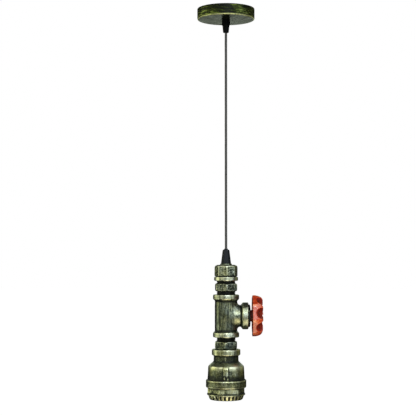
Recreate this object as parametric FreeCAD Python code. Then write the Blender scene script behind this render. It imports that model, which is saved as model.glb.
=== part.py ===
import FreeCAD, Part
import os
import math
from FreeCAD import Vector as V

# Pipe pendant light: ceiling canopy, straight cord and a lamp made of 1 inch
# pipe fittings with a red handwheel that works a rotary switch.
# Millimetres, +Z up, origin at the centre of the canopy in the ceiling plane.
# Everything hangs below z = 0.

# ---------------------------------------------------------------- dimensions
# canopy
CANOPY_R = 50.0
CANOPY_H = 19.0
CANOPY_WALL = 1.2
CANOPY_EDGE_R = 1.8
CANOPY_HOLE_R = 5.3

# crossbar bracket (hat section, feet against the ceiling)
BRACKET_HALF_LEN = 43.0
BRACKET_HALF_W = 9.0
BRACKET_T = 1.5
BRACKET_DROP = 9.5            # ceiling plane to the top of the middle part
BRACKET_FOOT_X = 25.0         # inner end of the feet
BRACKET_MID_X = 21.0          # outer end of the middle part
SLOT_X = 34.0                 # slot centre from the axis
SLOT_LEN = 12.0
SLOT_HALF_W = 2.2
EARTH_SCREW_X = -16.0

# M10 hollow nipples and their nuts
M10_R = 5.0
M10_BORE_R = 3.7
M10_NUT_AF = 14.0
M10_NUT_H = 3.0
CAN_NIPPLE_TOP = -6.3
CAN_NIPPLE_BOT = -27.0

# cord grip under the canopy
CGRIP_AF = 13.2
CGRIP_HEX_END = -28.9
CGRIP_END = -41.7
CGRIP_TAPER_R0 = 6.1
CGRIP_TAPER_R1 = 5.0

# cord
CORD_R = 2.2
CORD_GAP = 0.3                # free cord starts this far below the grip's mouth
CORE_R = 0.85

# cord grip on the lamp (six-sided taper)
LGRIP_LIP_TOP = -418.6
LGRIP_TOP = -420.6
LGRIP_SHOULDER = -422.2
LGRIP_BASE = -444.4
LGRIP_R_TOP = 6.15
LGRIP_R_BASE = 8.95
SEAT_R = 10.3
SEAT_BOT = -446.8

# 1 inch pipe fittings
THREAD_R = 16.6
BORE_R = 13.2

# eight-sided cap
CAP_TOP = -446.8
CAP_SHOULDER = -449.2
CAP_OCT_END = -466.2
CAP_BEAD_TOP = -467.4
CAP_BOT = -474.5
CAP_OCT_RC = 20.2
CAP_BEAD_R = 20.75
CAP_TURN = 4.0                # degrees, first corner seen from the front

# hexagon nipples
HEX_RC = 21.3
HEX_LEN = 13.6
UHEX_TOP = -478.9
LHEX_TOP = -578.6
UHEX_TURN = 4.0
LHEX_TURN = -5.0

# tee
TEE_Z = -535.1
TEE_HALF = 36.8
TEE_BODY_R = 19.1
TEE_BEAD_R = 22.6
TEE_BEAD_H = 10.4
BRANCH_BEAD_X0 = 27.5
BRANCH_FACE_X = 38.6
BRANCH_BEAD_R = 23.3

# branch plug and switch
PLUG_HEAD_X = 41.9
PLUG_RC = 19.7
SWITCH_R = 13.5
SWITCH_BACK_X = 14.0
SWITCH_FRONT_X = 37.5
BUSH_END_X = 44.4
SPINDLE_R = 3.0
SPINDLE_CLEAR = 0.05
SPINDLE_SQUARE = 5.0

# handwheel
WHEEL_BACK_X = 45.4
WHEEL_FRONT_X = 63.3
WHEEL_R = 36.5                # over the ridges between the eight flats
WHEEL_FLAT_R = 34.3           # from the axis to a flat
WHEEL_FLATS = 8
WHEEL_TURN = -11.0            # degrees, a flat's middle from the front
WHEEL_WALL = 3.4
WHEEL_HUB_R = 10.0
WHEEL_HUB_BACK_X = 42.3
WHEEL_FACE_X = 60.6           # hub face under the washer
SCREW_HEAD_R = 6.5
SCREW_HEAD_X = 64.2

# reducing socket, 1 inch to 2 inch
RED_TOP = -592.5
RED_BOT = -658.2
RED_TOP_BEAD_R = 24.75
RED_NECK_R = 21.5
RED_BODY_R = 32.1
RED_BEAD_R = 34.9
THREAD2_R = 29.8

# hexagon collar
COL_HEX_TOP = -658.4
COL_HEX_BOT = -667.8
COL_BOT = -670.8
COL_RC = 32.5
COL_FLANGE_R = 33.0
COL_TURN = 39.0
COL_WEB_TOP = -665.2
COL_HOLE_R = 20.2

# shade ring
RING_BOT = -678.8
RING_R_TOP = 30.8
RING_R_BOT = 28.0
RING_RIBS = 25
RING_TURN = 5.6               # degrees, a groove's angle

# lampholder
HOLDER_R = 19.75
HOLDER_SHOULDER_R = 23.8
SHELL_R = 13.3                # inside wall of the screw shell
SHELL_WALL = 0.5
SHELL_TOP = -650.0
SHELL_BOT = -675.2
SHELL_STEP = -654.0           # the threaded wall starts here, below the contact's tip
SHELL_NECK_R = 12.5           # inside, above that step

os.makedirs("parts", exist_ok=True)
NODES = []


def export(name, shape):
    if not shape.isValid():
        print("NOT VALID", name)
    if shape.ShapeType == "Compound" and len(shape.Solids) == 1:
        shape = shape.Solids[0]
    shape.exportStep("parts/%s.step" % name)
    NODES.append((name, shape))
    return shape


# ------------------------------------------------------------ small helpers
def rounded(points, closed):
    """Edges of a polyline whose corners carry an optional radius.
    A point is (V, radius)."""
    n = len(points)
    starts, ends, arcs = [], [], []
    for i in range(n):
        p, f = points[i]
        if f <= 0 or (not closed and i in (0, n - 1)):
            starts.append(p)
            ends.append(p)
            arcs.append(None)
            continue
        a = points[(i - 1) % n][0] - p
        b = points[(i + 1) % n][0] - p
        a.normalize()
        b.normalize()
        half = math.acos(max(-1, min(1, a.dot(b)))) / 2
        t = f / math.tan(half)
        bis = a + b
        bis.normalize()
        c = p + bis * (f / math.sin(half))
        starts.append(p + a * t)
        ends.append(p + b * t)
        arcs.append(c - bis * f)
    edges = []
    for i in range(n):
        if arcs[i] is not None:
            edges.append(Part.Arc(starts[i], arcs[i], ends[i]).toShape())
        if i == n - 1 and not closed:
            break
        j = (i + 1) % n
        if (starts[j] - ends[i]).Length > 1e-6:
            edges.append(Part.LineSegment(ends[i], starts[j]).toShape())
    return edges


def rev(points):
    """Solid of revolution about Z. A point is (r, z) or (r, z, radius)."""
    pts = [(V(p[0], 0, p[1]), p[2] if len(p) > 2 else 0) for p in points]
    face = Part.Face(Part.Wire(rounded(pts, True)))
    return face.revolve(V(0, 0, 0), V(0, 0, 1), 360)


def to_branch(shape):
    """From the local frame, +Z out, to the tee's branch axis, +X out."""
    s = shape.copy()
    s.rotate(V(0, 0, 0), V(0, 1, 0), 90)
    s.translate(V(0, 0, TEE_Z))
    return s


def ngon(n, rc, z0, z1, turn):
    """Prism between two heights. turn is a corner's angle in degrees from
    the front (-Y) towards +X."""
    pts = []
    for i in range(n):
        a = math.radians(turn - 90 + 360.0 * i / n)
        pts.append(V(rc * math.cos(a), rc * math.sin(a), min(z0, z1)))
    pts.append(pts[0])
    return Part.Face(Part.makePolygon(pts)).extrude(V(0, 0, abs(z1 - z0)))


def cyl(r, z0, z1, x=0, y=0):
    return Part.makeCylinder(r, abs(z1 - z0), V(x, y, min(z0, z1)))


def tube(points, r, name, bend_share=0.45):
    """Round tube along straight runs joined by tangent arcs."""
    pts = [V(*p) for p in points]
    radii = []
    data = []
    for i, p in enumerate(pts):
        if 0 < i < len(pts) - 1:
            a = pts[i - 1] - p
            b = pts[i + 1] - p
            short = min(a.Length, b.Length)
            half = math.acos(max(-1, min(1, a.dot(b) / a.Length / b.Length))) / 2
            f = bend_share * short * math.tan(half)
            radii.append(f)
            data.append((p, f))
        else:
            data.append((p, 0))
    edges = rounded(data, False)
    wire = Part.Wire(edges)
    d = pts[1] - pts[0]
    d.normalize()
    section = Part.Wire(Part.makeCircle(r, pts[0], d))
    solid = wire.makePipeShell([section], True, False)
    length = wire.Length
    want = math.pi * r * r * length
    print("%-24s length %.1f mm, smallest bend %.1f mm, volume/section x length %.4f"
          % (name, length, min(radii) if radii else 0, solid.Volume / want))
    return solid


def chamfered_hex(rc, z0, z1, turn, top, bottom, r_in):
    """Hexagon between two heights whose corners are turned away by cones."""
    prism = ngon(6, rc, z0, z1, turn)
    hi, lo = max(z0, z1), min(z0, z1)
    cone = rev([(0, hi), (r_in, hi), (rc, hi - top), (rc, lo + bottom), (r_in, lo), (0, lo)])
    return prism.common(cone)


def m10_nut(z0, z1):
    n = chamfered_hex(M10_NUT_AF / math.sqrt(3), z0, z1, 0, 0.5, 0.5, 7.2)
    return n.cut(cyl(M10_R, z0, z1))


# ------------------------------------------------------------- ceiling parts
shell = rev([(CANOPY_HOLE_R, -CANOPY_H), (CANOPY_R, -CANOPY_H, CANOPY_EDGE_R),
             (CANOPY_R, 0), (CANOPY_R - CANOPY_WALL, 0),
             (CANOPY_R - CANOPY_WALL, -CANOPY_H + CANOPY_WALL, CANOPY_EDGE_R - CANOPY_WALL),
             (CANOPY_HOLE_R, -CANOPY_H + CANOPY_WALL)])
export("canopy_shell", shell)

t = BRACKET_T
mid = -BRACKET_DROP
prof = [V(-BRACKET_HALF_LEN, -BRACKET_HALF_W, 0), V(-BRACKET_FOOT_X, -BRACKET_HALF_W, 0),
        V(-BRACKET_MID_X, -BRACKET_HALF_W, mid), V(BRACKET_MID_X, -BRACKET_HALF_W, mid),
        V(BRACKET_FOOT_X, -BRACKET_HALF_W, 0), V(BRACKET_HALF_LEN, -BRACKET_HALF_W, 0),
        V(BRACKET_HALF_LEN, -BRACKET_HALF_W, -t), V(BRACKET_FOOT_X + 1.0, -BRACKET_HALF_W, -t),
        V(BRACKET_MID_X + 1.0, -BRACKET_HALF_W, mid - t), V(-BRACKET_MID_X - 1.0, -BRACKET_HALF_W, mid - t),
        V(-BRACKET_FOOT_X - 1.0, -BRACKET_HALF_W, -t), V(-BRACKET_HALF_LEN, -BRACKET_HALF_W, -t)]
bar = Part.Face(Part.makePolygon(prof + [prof[0]])).extrude(V(0, 2 * BRACKET_HALF_W, 0))
for sx in (-1, 1):
    h = SLOT_LEN / 2 - SLOT_HALF_W
    slot = Part.makeBox(2 * h, 2 * SLOT_HALF_W, 4, V(sx * SLOT_X - h, -SLOT_HALF_W, -3))
    slot = slot.fuse(cyl(SLOT_HALF_W, -3, 1, sx * SLOT_X - h)).fuse(cyl(SLOT_HALF_W, -3, 1, sx * SLOT_X + h))
    bar = bar.cut(slot)
bar = bar.cut(cyl(M10_R, mid - 3, mid + 1)).cut(cyl(2.0, mid - 3, mid + 1, EARTH_SCREW_X))
corner = Part.makeBox(2 * BRACKET_HALF_LEN, 2 * BRACKET_HALF_W, 30, V(-BRACKET_HALF_LEN, -BRACKET_HALF_W, -20))
corner = corner.makeFillet(3.0, [e for e in corner.Edges if abs(e.Vertexes[0].Point.z - e.Vertexes[1].Point.z) > 1])
bar = bar.common(corner).removeSplitter()
export("mounting_bracket", bar)

export("canopy_nipple", rev([(M10_BORE_R, CAN_NIPPLE_BOT), (M10_R, CAN_NIPPLE_BOT),
                             (M10_R, CAN_NIPPLE_TOP), (M10_BORE_R, CAN_NIPPLE_TOP)]))
export("canopy_locknuts", Part.makeCompound([m10_nut(mid, mid + M10_NUT_H), m10_nut(mid - t, mid - t - M10_NUT_H)]))

g = chamfered_hex(CGRIP_AF / math.sqrt(3), -CANOPY_H, CGRIP_HEX_END, 12, 0.6, 1.2, 6.6)
g = g.fuse(rev([(0, CGRIP_HEX_END + 1), (CGRIP_TAPER_R0, CGRIP_HEX_END + 1), (CGRIP_TAPER_R0, CGRIP_HEX_END),
                (CGRIP_TAPER_R1, CGRIP_END, 1.2), (0, CGRIP_END)]))
g = g.cut(cyl(M10_R, -CANOPY_H, CAN_NIPPLE_BOT)).cut(cyl(3.7, CAN_NIPPLE_BOT, CGRIP_END + 2.4))
g = g.cut(cyl(CORD_R + 0.15, CGRIP_END - 1, CGRIP_END + 3)).removeSplitter()
export("canopy_cord_grip", g)
collet = rev([(CORD_R, CAN_NIPPLE_BOT), (3.65, CAN_NIPPLE_BOT), (3.65, CGRIP_END + 2.5), (CORD_R, CGRIP_END + 2.5)])
export("canopy_grip_sleeve", collet)

# sheathed end of the cord in the canopy's grip and nipple
SHEATH_TOP = -12.0
export("cord_upper_end", cyl(CORD_R, CGRIP_END, SHEATH_TOP))

# terminal block beside the bracket, with three through holes along Y
TB_X, TB_Y0, TB_Y1, TB_Z0, TB_Z1 = 14.4, 15.5, 31.5, -17.5, -6.9
TB_PITCH = 9.0
TB_LEAD_Z = -13.5
tb = Part.makeBox(2 * TB_X, TB_Y1 - TB_Y0, TB_Z1 - TB_Z0, V(-TB_X, TB_Y0, TB_Z0))
tb = tb.makeFillet(1.2, [e for e in tb.Edges if abs(e.Vertexes[0].Point.z - e.Vertexes[1].Point.z) > 1])
for i in (-1, 0, 1):
    c = i * TB_PITCH
    hole = Part.makeCylinder(1.5, TB_Y1 - TB_Y0 + 2, V(c, TB_Y0 - 1, TB_LEAD_Z), V(0, 1, 0))
    tb = tb.cut(hole)
    for y in (TB_Y0 + 4, TB_Y1 - 4):
        tb = tb.cut(cyl(1.6, TB_LEAD_Z, TB_Z1 + 1, c, y))
for i in (-0.5, 0.5):
    c = i * TB_PITCH
    for y in (TB_Y0, TB_Y1):
        tb = tb.cut(Part.makeBox(1.4, 3.0, 14, V(c - 0.7, y - 1.5, TB_Z0 - 1)))
export("terminal_block", tb)
screws = []
for i in (-1, 0, 1):
    for y in (TB_Y0 + 4, TB_Y1 - 4):
        s = cyl(1.55, TB_LEAD_Z + 1.55, TB_Z1 - 1.5, i * TB_PITCH, y)
        s = s.cut(Part.makeBox(4, 0.5, 0.8, V(i * TB_PITCH - 2, y - 0.25, TB_Z1 - 2.3)))
        screws.append(s)
export("terminal_block_screws", Part.makeCompound(screws))

# cores from the sheath's end, up out of the nipple, over its nut, down to the
# block; the earth core goes to the bracket's earth screw by the block's side
LOOP_Z = -3.2
LEAD_RING = 1.2
ring = [(LEAD_RING * math.cos(math.radians(a)), LEAD_RING * math.sin(math.radians(a))) for a in (150, 30, 270)]
for (name, (x0, y0), xi) in (("canopy_lead_live", ring[0], -TB_PITCH), ("canopy_lead_neutral", ring[1], TB_PITCH)):
    sx = 1 if xi > 0 else -1
    path = [(x0, y0, SHEATH_TOP), (x0, y0, LOOP_Z - 0.6), (x0 + sx * 4.6, 7.2, LOOP_Z), (xi, 12.6, -6.0),
            (xi, 14.2, TB_LEAD_Z), (xi, TB_Y0 + 6.5, TB_LEAD_Z)]
    export(name, tube(path, CORE_R, name))
x0, y0 = ring[2]
path = [(x0, y0, SHEATH_TOP), (x0, y0, LOOP_Z - 0.4), (0, 7.4, LOOP_Z), (0, 12.8, -6.0), (0, 14.2, TB_LEAD_Z),
        (0, TB_Y0 + 6.5, TB_LEAD_Z)]
export("canopy_lead_earth", tube(path, CORE_R, "canopy_lead_earth"))

# earth screw and the bridge from the block to it
es = cyl(2.0, mid - t - 3.0, mid + 0.6, EARTH_SCREW_X)
head = cyl(3.6, mid + 0.6, mid + 3.0, EARTH_SCREW_X).cut(
    Part.makeBox(9, 0.9, 1.3, V(EARTH_SCREW_X - 4.5, -0.45, mid + 1.9)))
export("bracket_earth_screw", es.fuse(head).removeSplitter())
ringlug = cyl(3.6, mid, mid + 0.6, EARTH_SCREW_X).cut(cyl(2.0, mid - 1, mid + 1, EARTH_SCREW_X))
tongue = Part.makeBox(2.2, 5.0, 0.6, V(EARTH_SCREW_X - 1.1, 3.0, mid))
barrel = Part.makeCylinder(1.5, 4.0, V(EARTH_SCREW_X, 7.6, mid + 1.5), V(0, 1, 0))
export("bracket_earth_lug", ringlug.fuse(tongue).fuse(barrel).removeSplitter())
path = [(EARTH_SCREW_X, 11.6, mid + 1.5), (EARTH_SCREW_X, 19.0, mid + 1.5), (EARTH_SCREW_X - 0.2, 28.0, mid + 0.6), (EARTH_SCREW_X + 1.0, 35.4, -10.6),
        (-4.0, 38.4, TB_LEAD_Z), (-0.2, 35.6, TB_LEAD_Z), (0, 24.5, TB_LEAD_Z)]
export("bracket_earth_lead", tube(path, CORE_R, "bracket_earth_lead"))

# -------------------------------------------------------------- free cord
PIVOT_Z = CGRIP_END - CORD_GAP - CORD_R
CORD_END = LGRIP_LIP_TOP - 1.0
cord = cyl(CORD_R, PIVOT_Z, CORD_END).fuse(Part.makeSphere(CORD_R, V(0, 0, PIVOT_Z))).removeSplitter()
export("pendant_cord", cord)
print("%-24s length %.1f mm, straight, volume/section x length %.4f"
      % ("pendant_cord", CGRIP_END - LGRIP_LIP_TOP,
         cord.Volume / (math.pi * CORD_R ** 2 * (PIVOT_Z - CORD_END) + 2 / 3 * math.pi * CORD_R ** 3)))

# ------------------------------------------------------ grip on the lamp
def hex_loop(rc, z):
    pts = [V(rc * math.cos(math.radians(60 * i)), rc * math.sin(math.radians(60 * i)), z) for i in range(6)]
    return Part.makePolygon(pts + [pts[0]])


lg = Part.makeLoft([hex_loop(LGRIP_R_TOP - 0.5, LGRIP_TOP), hex_loop(LGRIP_R_TOP, LGRIP_SHOULDER)], True, True)
lg = lg.fuse(Part.makeLoft([hex_loop(LGRIP_R_TOP, LGRIP_SHOULDER), hex_loop(LGRIP_R_BASE, LGRIP_BASE)], True, True))
turned = rev([(0, LGRIP_LIP_TOP), (3.0, LGRIP_LIP_TOP, 0.4), (3.6, LGRIP_TOP, 0.5), (5.3, LGRIP_TOP),
              (6.0, LGRIP_SHOULDER), (8.8, LGRIP_BASE), (0, LGRIP_BASE)])
lg = lg.common(turned).fuse(rev([(0, LGRIP_LIP_TOP), (3.0, LGRIP_LIP_TOP, 0.4), (3.8, LGRIP_TOP - 1), (0, LGRIP_TOP - 1)]))
lg = lg.cut(cyl(M10_R, LGRIP_BASE - 1, -434.0)).cut(cyl(3.9, -434.5, -423.5))
lg = lg.cut(cyl(CORD_R + 0.15, -424, LGRIP_LIP_TOP + 1)).removeSplitter()
export("lamp_cord_grip", lg)
export("lamp_grip_sleeve", rev([(CORD_R, -434.0), (3.85, -434.0), (3.85, -423.6), (CORD_R, -423.6)]))
export("grip_seat_washer", rev([(M10_R + 0.1, LGRIP_BASE), (9.4, LGRIP_BASE, 0.5), (SEAT_R, SEAT_BOT + 0.5, 0.5),
                                (SEAT_R, SEAT_BOT), (M10_R + 0.1, SEAT_BOT)]))
LN_TOP, LN_BOT = -435.0, -456.0
export("lamp_nipple", rev([(M10_BORE_R, LN_BOT), (M10_R, LN_BOT), (M10_R, LN_TOP), (M10_BORE_R, LN_TOP)]))
CAP_WALL = 4.5
export("lamp_locknut", m10_nut(CAP_TOP - CAP_WALL, CAP_TOP - CAP_WALL - M10_NUT_H))

# ----------------------------------------------------------- eight-sided cap
oct_body = ngon(8, CAP_OCT_RC, CAP_TOP, CAP_OCT_END, CAP_TURN)
oct_body = oct_body.common(rev([(0, CAP_TOP), (15.2, CAP_TOP), (19.0, CAP_SHOULDER + 0.6, 1.5),
                                (CAP_OCT_RC, CAP_SHOULDER - 2), (CAP_OCT_RC, CAP_OCT_END), (0, CAP_OCT_END)]))
cap = oct_body.fuse(rev([(0, CAP_OCT_END + 1), (18.2, CAP_OCT_END + 1), (18.2, CAP_BEAD_TOP),
                         (CAP_BEAD_R, CAP_BEAD_TOP, 1.2), (CAP_BEAD_R, CAP_BOT, 1.6), (0, CAP_BOT)]))
cap = cap.cut(cyl(M10_R + 0.1, CAP_TOP + 1, CAP_TOP - 6)).cut(cyl(15.0, CAP_TOP - CAP_WALL, -458))
cap = cap.cut(cyl(THREAD_R, -457.0, CAP_BOT - 1)).removeSplitter()
export("pipe_cap", cap)


# ----------------------------------------------------------- hexagon nipples
def hex_nipple(top_of_hex, turn, up, down):
    lo = top_of_hex - HEX_LEN
    s = chamfered_hex(HEX_RC, top_of_hex, lo, turn, 2.6, 2.6, 17.4)
    s = s.fuse(rev([(0, top_of_hex + up), (THREAD_R - 0.9, top_of_hex + up), (THREAD_R, top_of_hex + up - 1.2),
                    (THREAD_R, lo - down + 1.2), (THREAD_R - 0.9, lo - down), (0, lo - down)]))
    return s.cut(cyl(BORE_R, top_of_hex + up + 1, lo - down - 1)).removeSplitter()


export("upper_hex_nipple", hex_nipple(UHEX_TOP, UHEX_TURN, 20.5, 20.5))
export("lower_hex_nipple", hex_nipple(LHEX_TOP, LHEX_TURN, 20.5, 17.5))

# ------------------------------------------------------------------- tee
TT, TB = TEE_Z + TEE_HALF, TEE_Z - TEE_HALF
run = rev([(0, TT), (TEE_BEAD_R, TT, 1.6), (TEE_BEAD_R, TT - TEE_BEAD_H + 2, 1.5), (TEE_BODY_R, TT - TEE_BEAD_H),
           (TEE_BODY_R, TB + TEE_BEAD_H), (TEE_BEAD_R, TB + TEE_BEAD_H - 2, 1.5), (TEE_BEAD_R, TB, 1.6), (0, TB)])
arm = to_branch(cyl(TEE_BODY_R - 0.4, 0, BRANCH_BEAD_X0 + 1))
pipe_arm = to_branch(rev([(0, BRANCH_BEAD_X0 - 2), (TEE_BODY_R - 0.4, BRANCH_BEAD_X0 - 2), (BRANCH_BEAD_R, BRANCH_BEAD_X0 + 1, 1.5),
                          (BRANCH_BEAD_R, BRANCH_FACE_X, 1.6), (0, BRANCH_FACE_X)]))
body = cyl(TEE_BODY_R, TT - TEE_BEAD_H - 0.0, TB + TEE_BEAD_H)
cross = body.fuse(arm).removeSplitter()
seam = []
for e in cross.Edges:
    c = e.BoundBox
    if c.XMin > 0.5 and c.XMax < TEE_BODY_R + 0.5 and c.ZLength > 5:
        seam.append(e)
done = False
for f in (7.0, 5.0, 3.5, 2.0):
    if done or not seam:
        break
    try:
        filleted = cross.makeFillet(f, seam)
        if filleted.isValid() and filleted.Volume > cross.Volume:
            cross = filleted
            done = True
            print("tee crotch radius", f)
    except Exception:
        pass
if not done:
    print("tee crotch without a radius")
tee = cross.fuse(run).fuse(pipe_arm)
tee = tee.cut(cyl(15.4, TT + 1, TB - 1)).cut(cyl(THREAD_R, TT + 1, TT - 17)).cut(cyl(THREAD_R, TB - 1, TB + 17))
tee = tee.cut(to_branch(cyl(15.4, 0, BRANCH_FACE_X + 1))).cut(to_branch(cyl(THREAD_R, BRANCH_FACE_X - 16.6, BRANCH_FACE_X + 1)))
# tapped pad for the earth screw on the inside of the back wall
EARTH_Z = TEE_Z + 8.0
pad = Part.makeCylinder(4.2, 4.2, V(-15.9, 0, EARTH_Z), V(1, 0, 0)).fuse(
    Part.makeCylinder(4.2, 1.5, V(-17.2, 0, EARTH_Z), V(1, 0, 0)))
tee = tee.fuse(pad).cut(Part.makeCylinder(1.6, 5.2, V(-16.6, 0, EARTH_Z), V(1, 0, 0))).removeSplitter()
export("pipe_tee", tee)

# ---------------------------------------------------------- branch plug
plug = chamfered_hex(PLUG_RC, BRANCH_FACE_X, PLUG_HEAD_X, 90, 0.9, 0.0, 17.6)
plug = plug.common(rev([(0, PLUG_HEAD_X), (17.6, PLUG_HEAD_X), (PLUG_RC, PLUG_HEAD_X - 0.9), (PLUG_RC, BRANCH_FACE_X),
                        (0, BRANCH_FACE_X)]))
plug = ngon(6, PLUG_RC, BRANCH_FACE_X, PLUG_HEAD_X, 90).common(
    rev([(0, PLUG_HEAD_X), (17.2, PLUG_HEAD_X), (PLUG_RC, PLUG_HEAD_X - 1.1), (PLUG_RC, BRANCH_FACE_X), (0, BRANCH_FACE_X)]))
plug = plug.fuse(cyl(THREAD_R, BRANCH_FACE_X + 0.5, 22.5)).cut(cyl(SWITCH_R + 0.5, 22, SWITCH_FRONT_X))
plug = plug.cut(cyl(M10_R + 0.1, 30, 50)).removeSplitter()
export("branch_plug", to_branch(plug))

# ------------------------------------------------------------ rotary switch
CAV0, CAV1, CAV_R = 19.0, 33.0, 10.5
sw = rev([(0, SWITCH_BACK_X), (SWITCH_R, SWITCH_BACK_X, 1.0), (SWITCH_R, SWITCH_FRONT_X, 0.6),
          (M10_R, SWITCH_FRONT_X), (M10_R, BUSH_END_X), (0, BUSH_END_X)])
sw = sw.cut(cyl(CAV_R, CAV0, CAV1)).cut(cyl(SPINDLE_R + SPINDLE_CLEAR, CAV1 - 1, BUSH_END_X + 1))
SW_TERM = ((-6.0, 3.6), (6.0, 3.6))        # lead holes in the back face, local x (up is -x) and y
SW_SCREW = ((-6.0, -3.6), (6.0, -3.6))
for (x, y) in SW_TERM:
    sw = sw.cut(cyl(1.0, SWITCH_BACK_X - 1, SWITCH_BACK_X + 3.5, x, y))
for (x, y) in SW_SCREW:
    sw = sw.cut(cyl(1.2, SWITCH_BACK_X - 1, SWITCH_BACK_X + 3.5, x, y))
export("switch_body", to_branch(sw))
export("switch_terminal_screws", to_branch(Part.makeCompound(
    [cyl(1.15, SWITCH_BACK_X + 3.0, SWITCH_BACK_X, x, y).fuse(cyl(2.2, SWITCH_BACK_X, SWITCH_BACK_X - 1.4, x, y)).cut(
        Part.makeBox(5, 0.5, 0.7, V(x - 2.5, y - 0.25, SWITCH_BACK_X - 1.4))) for (x, y) in SW_SCREW])))
nut = chamfered_hex(M10_NUT_AF / math.sqrt(3), PLUG_HEAD_X, BUSH_END_X, 0, 0.4, 0.0, 7.4)
nut = ngon(6, M10_NUT_AF / math.sqrt(3), PLUG_HEAD_X, BUSH_END_X, 0).cut(cyl(M10_R, PLUG_HEAD_X - 1, BUSH_END_X + 1))
export("switch_locknut", to_branch(nut))

# spindle: cam disc in the switch, round shank in the bush, square end
sp = cyl(8.0, 22.0, 28.0).cut(Part.makeBox(20, 3.2, 8, V(-10, -1.6, 21)).cut(cyl(4.2, 20, 30)))
sp = sp.fuse(cyl(SPINDLE_R, 27.0, 47.0))
q = SPINDLE_SQUARE / 2
square = Part.makeBox(2 * q, 2 * q, 13.0, V(-q, -q, 46.5)).common(cyl(SPINDLE_R, 46, 60))
sp = sp.fuse(square).cut(cyl(1.9, 50.0, 60.0)).removeSplitter()
export("switch_spindle", to_branch(sp))

# ---------------------------------------------------------------- handwheel
dome = rev([(0, WHEEL_BACK_X), (WHEEL_R, WHEEL_BACK_X, 0.8), (WHEEL_R, 50.0, 8.0), (32.2, WHEEL_FRONT_X, 7.5),
            (20.5, WHEEL_FRONT_X, 1.5), (16.5, WHEEL_FACE_X, 1.5), (0, WHEEL_FACE_X)])
half_step = 180.0 / WHEEL_FLATS
dome = dome.common(ngon(WHEEL_FLATS, WHEEL_FLAT_R / math.cos(math.radians(half_step)), WHEEL_BACK_X - 2, WHEEL_FRONT_X + 2,
                        WHEEL_TURN + half_step))
inner = rev([(0, WHEEL_BACK_X - 1), (30.2, WHEEL_BACK_X - 1), (30.2, 50.0, 4.0), (21.5, WHEEL_FACE_X - WHEEL_WALL, 2.0),
             (0, WHEEL_FACE_X - WHEEL_WALL)])
wheel = dome.cut(inner)
# each flat ends in a finger scoop that runs up over the shoulder and through
# the front rim: a cone whose lowest line joins two points (radius, height)
SCOOP_FOOT, SCOOP_HEAD = (34.2, 51.5), (20.5, 61.2)
SCOOP_R0, SCOOP_R1 = 12.5, 9.5          # square to that line, at its two points
run_r, run_z = SCOOP_HEAD[0] - SCOOP_FOOT[0], SCOOP_HEAD[1] - SCOOP_FOOT[1]
run = math.hypot(run_r, run_z)
out_r, out_z = run_z / run, -run_r / run
c0 = (SCOOP_FOOT[0] + SCOOP_R0 * out_r, SCOOP_FOOT[1] + SCOOP_R0 * out_z)
c1 = (SCOOP_HEAD[0] + SCOOP_R1 * out_r, SCOOP_HEAD[1] + SCOOP_R1 * out_z)
axis_len = math.hypot(c1[0] - c0[0], c1[1] - c0[1])
ur, uz = (c1[0] - c0[0]) / axis_len, (c1[1] - c0[1]) / axis_len
taper = math.asin((SCOOP_R0 - SCOOP_R1) / axis_len)
BEFORE, BEYOND = 8.0, 26.0
for i in range(WHEEL_FLATS):
    a = math.radians(WHEEL_TURN - 90 + 360.0 / WHEEL_FLATS * i)
    ca, sa = math.cos(a), math.sin(a)
    start = V((c0[0] - BEFORE * ur) * ca, (c0[0] - BEFORE * ur) * sa, c0[1] - BEFORE * uz)
    r_start = SCOOP_R0 / math.cos(taper) + BEFORE * math.tan(taper)
    r_end = SCOOP_R0 / math.cos(taper) - BEYOND * math.tan(taper)
    wheel = wheel.cut(Part.makeCone(r_start, r_end, BEFORE + BEYOND, start, V(ur * ca, ur * sa, uz)))
    # window between two spokes
    w = rev([(13.8, 50), (18.6, 50), (18.6, 70), (13.8, 70)])
    half = 14.0
    wedge = [V(0, 0, 50)] + [V(60 * math.cos(a + math.radians(d)), 60 * math.sin(a + math.radians(d)), 50) for d in (-half, half)]
    wedge = Part.Face(Part.makePolygon(wedge + [wedge[0]])).extrude(V(0, 0, 20))
    w = w.common(wedge)
    w = w.makeFillet(1.5, [e for e in w.Edges if e.BoundBox.ZLength > 15])
    wheel = wheel.cut(w)
hub = rev([(0, WHEEL_HUB_BACK_X), (WHEEL_HUB_R, WHEEL_HUB_BACK_X, 0.8), (WHEEL_HUB_R + 0.6, 57.0), (WHEEL_HUB_R + 2.6, 58.8),
           (WHEEL_HUB_R + 2.6, WHEEL_FACE_X - 1.0), (WHEEL_HUB_R, WHEEL_FACE_X), (0, WHEEL_FACE_X)])
wheel = wheel.fuse(hub).cut(cyl(8.6, WHEEL_HUB_BACK_X - 1, 46.4))
wheel = wheel.cut(cyl(SPINDLE_R, 46.0, 47.0))
wheel = wheel.cut(Part.makeBox(2 * q, 2 * q, 20, V(-q, -q, 45)).common(cyl(SPINDLE_R, 44, 66))).removeSplitter()
export("handwheel", to_branch(wheel))
WASHER_T = 0.9
export("wheel_washer", to_branch(rev([(2.1, WHEEL_FACE_X), (7.6, WHEEL_FACE_X), (7.6, WHEEL_FACE_X + WASHER_T, 0.3),
                                      (2.1, WHEEL_FACE_X + WASHER_T)])))
ws = rev([(0, WHEEL_FACE_X + WASHER_T), (SCREW_HEAD_R, WHEEL_FACE_X + WASHER_T), (SCREW_HEAD_R, SCREW_HEAD_X, 0.9), (0, SCREW_HEAD_X)])
ws = ws.cut(Part.makeBox(2.6, 20, 2.3, V(-1.3, -10, SCREW_HEAD_X - 2.0)))
ws = ws.fuse(cyl(1.9, 50.5, WHEEL_FACE_X + WASHER_T + 0.5)).removeSplitter()
export("wheel_screw", to_branch(ws))

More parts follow.
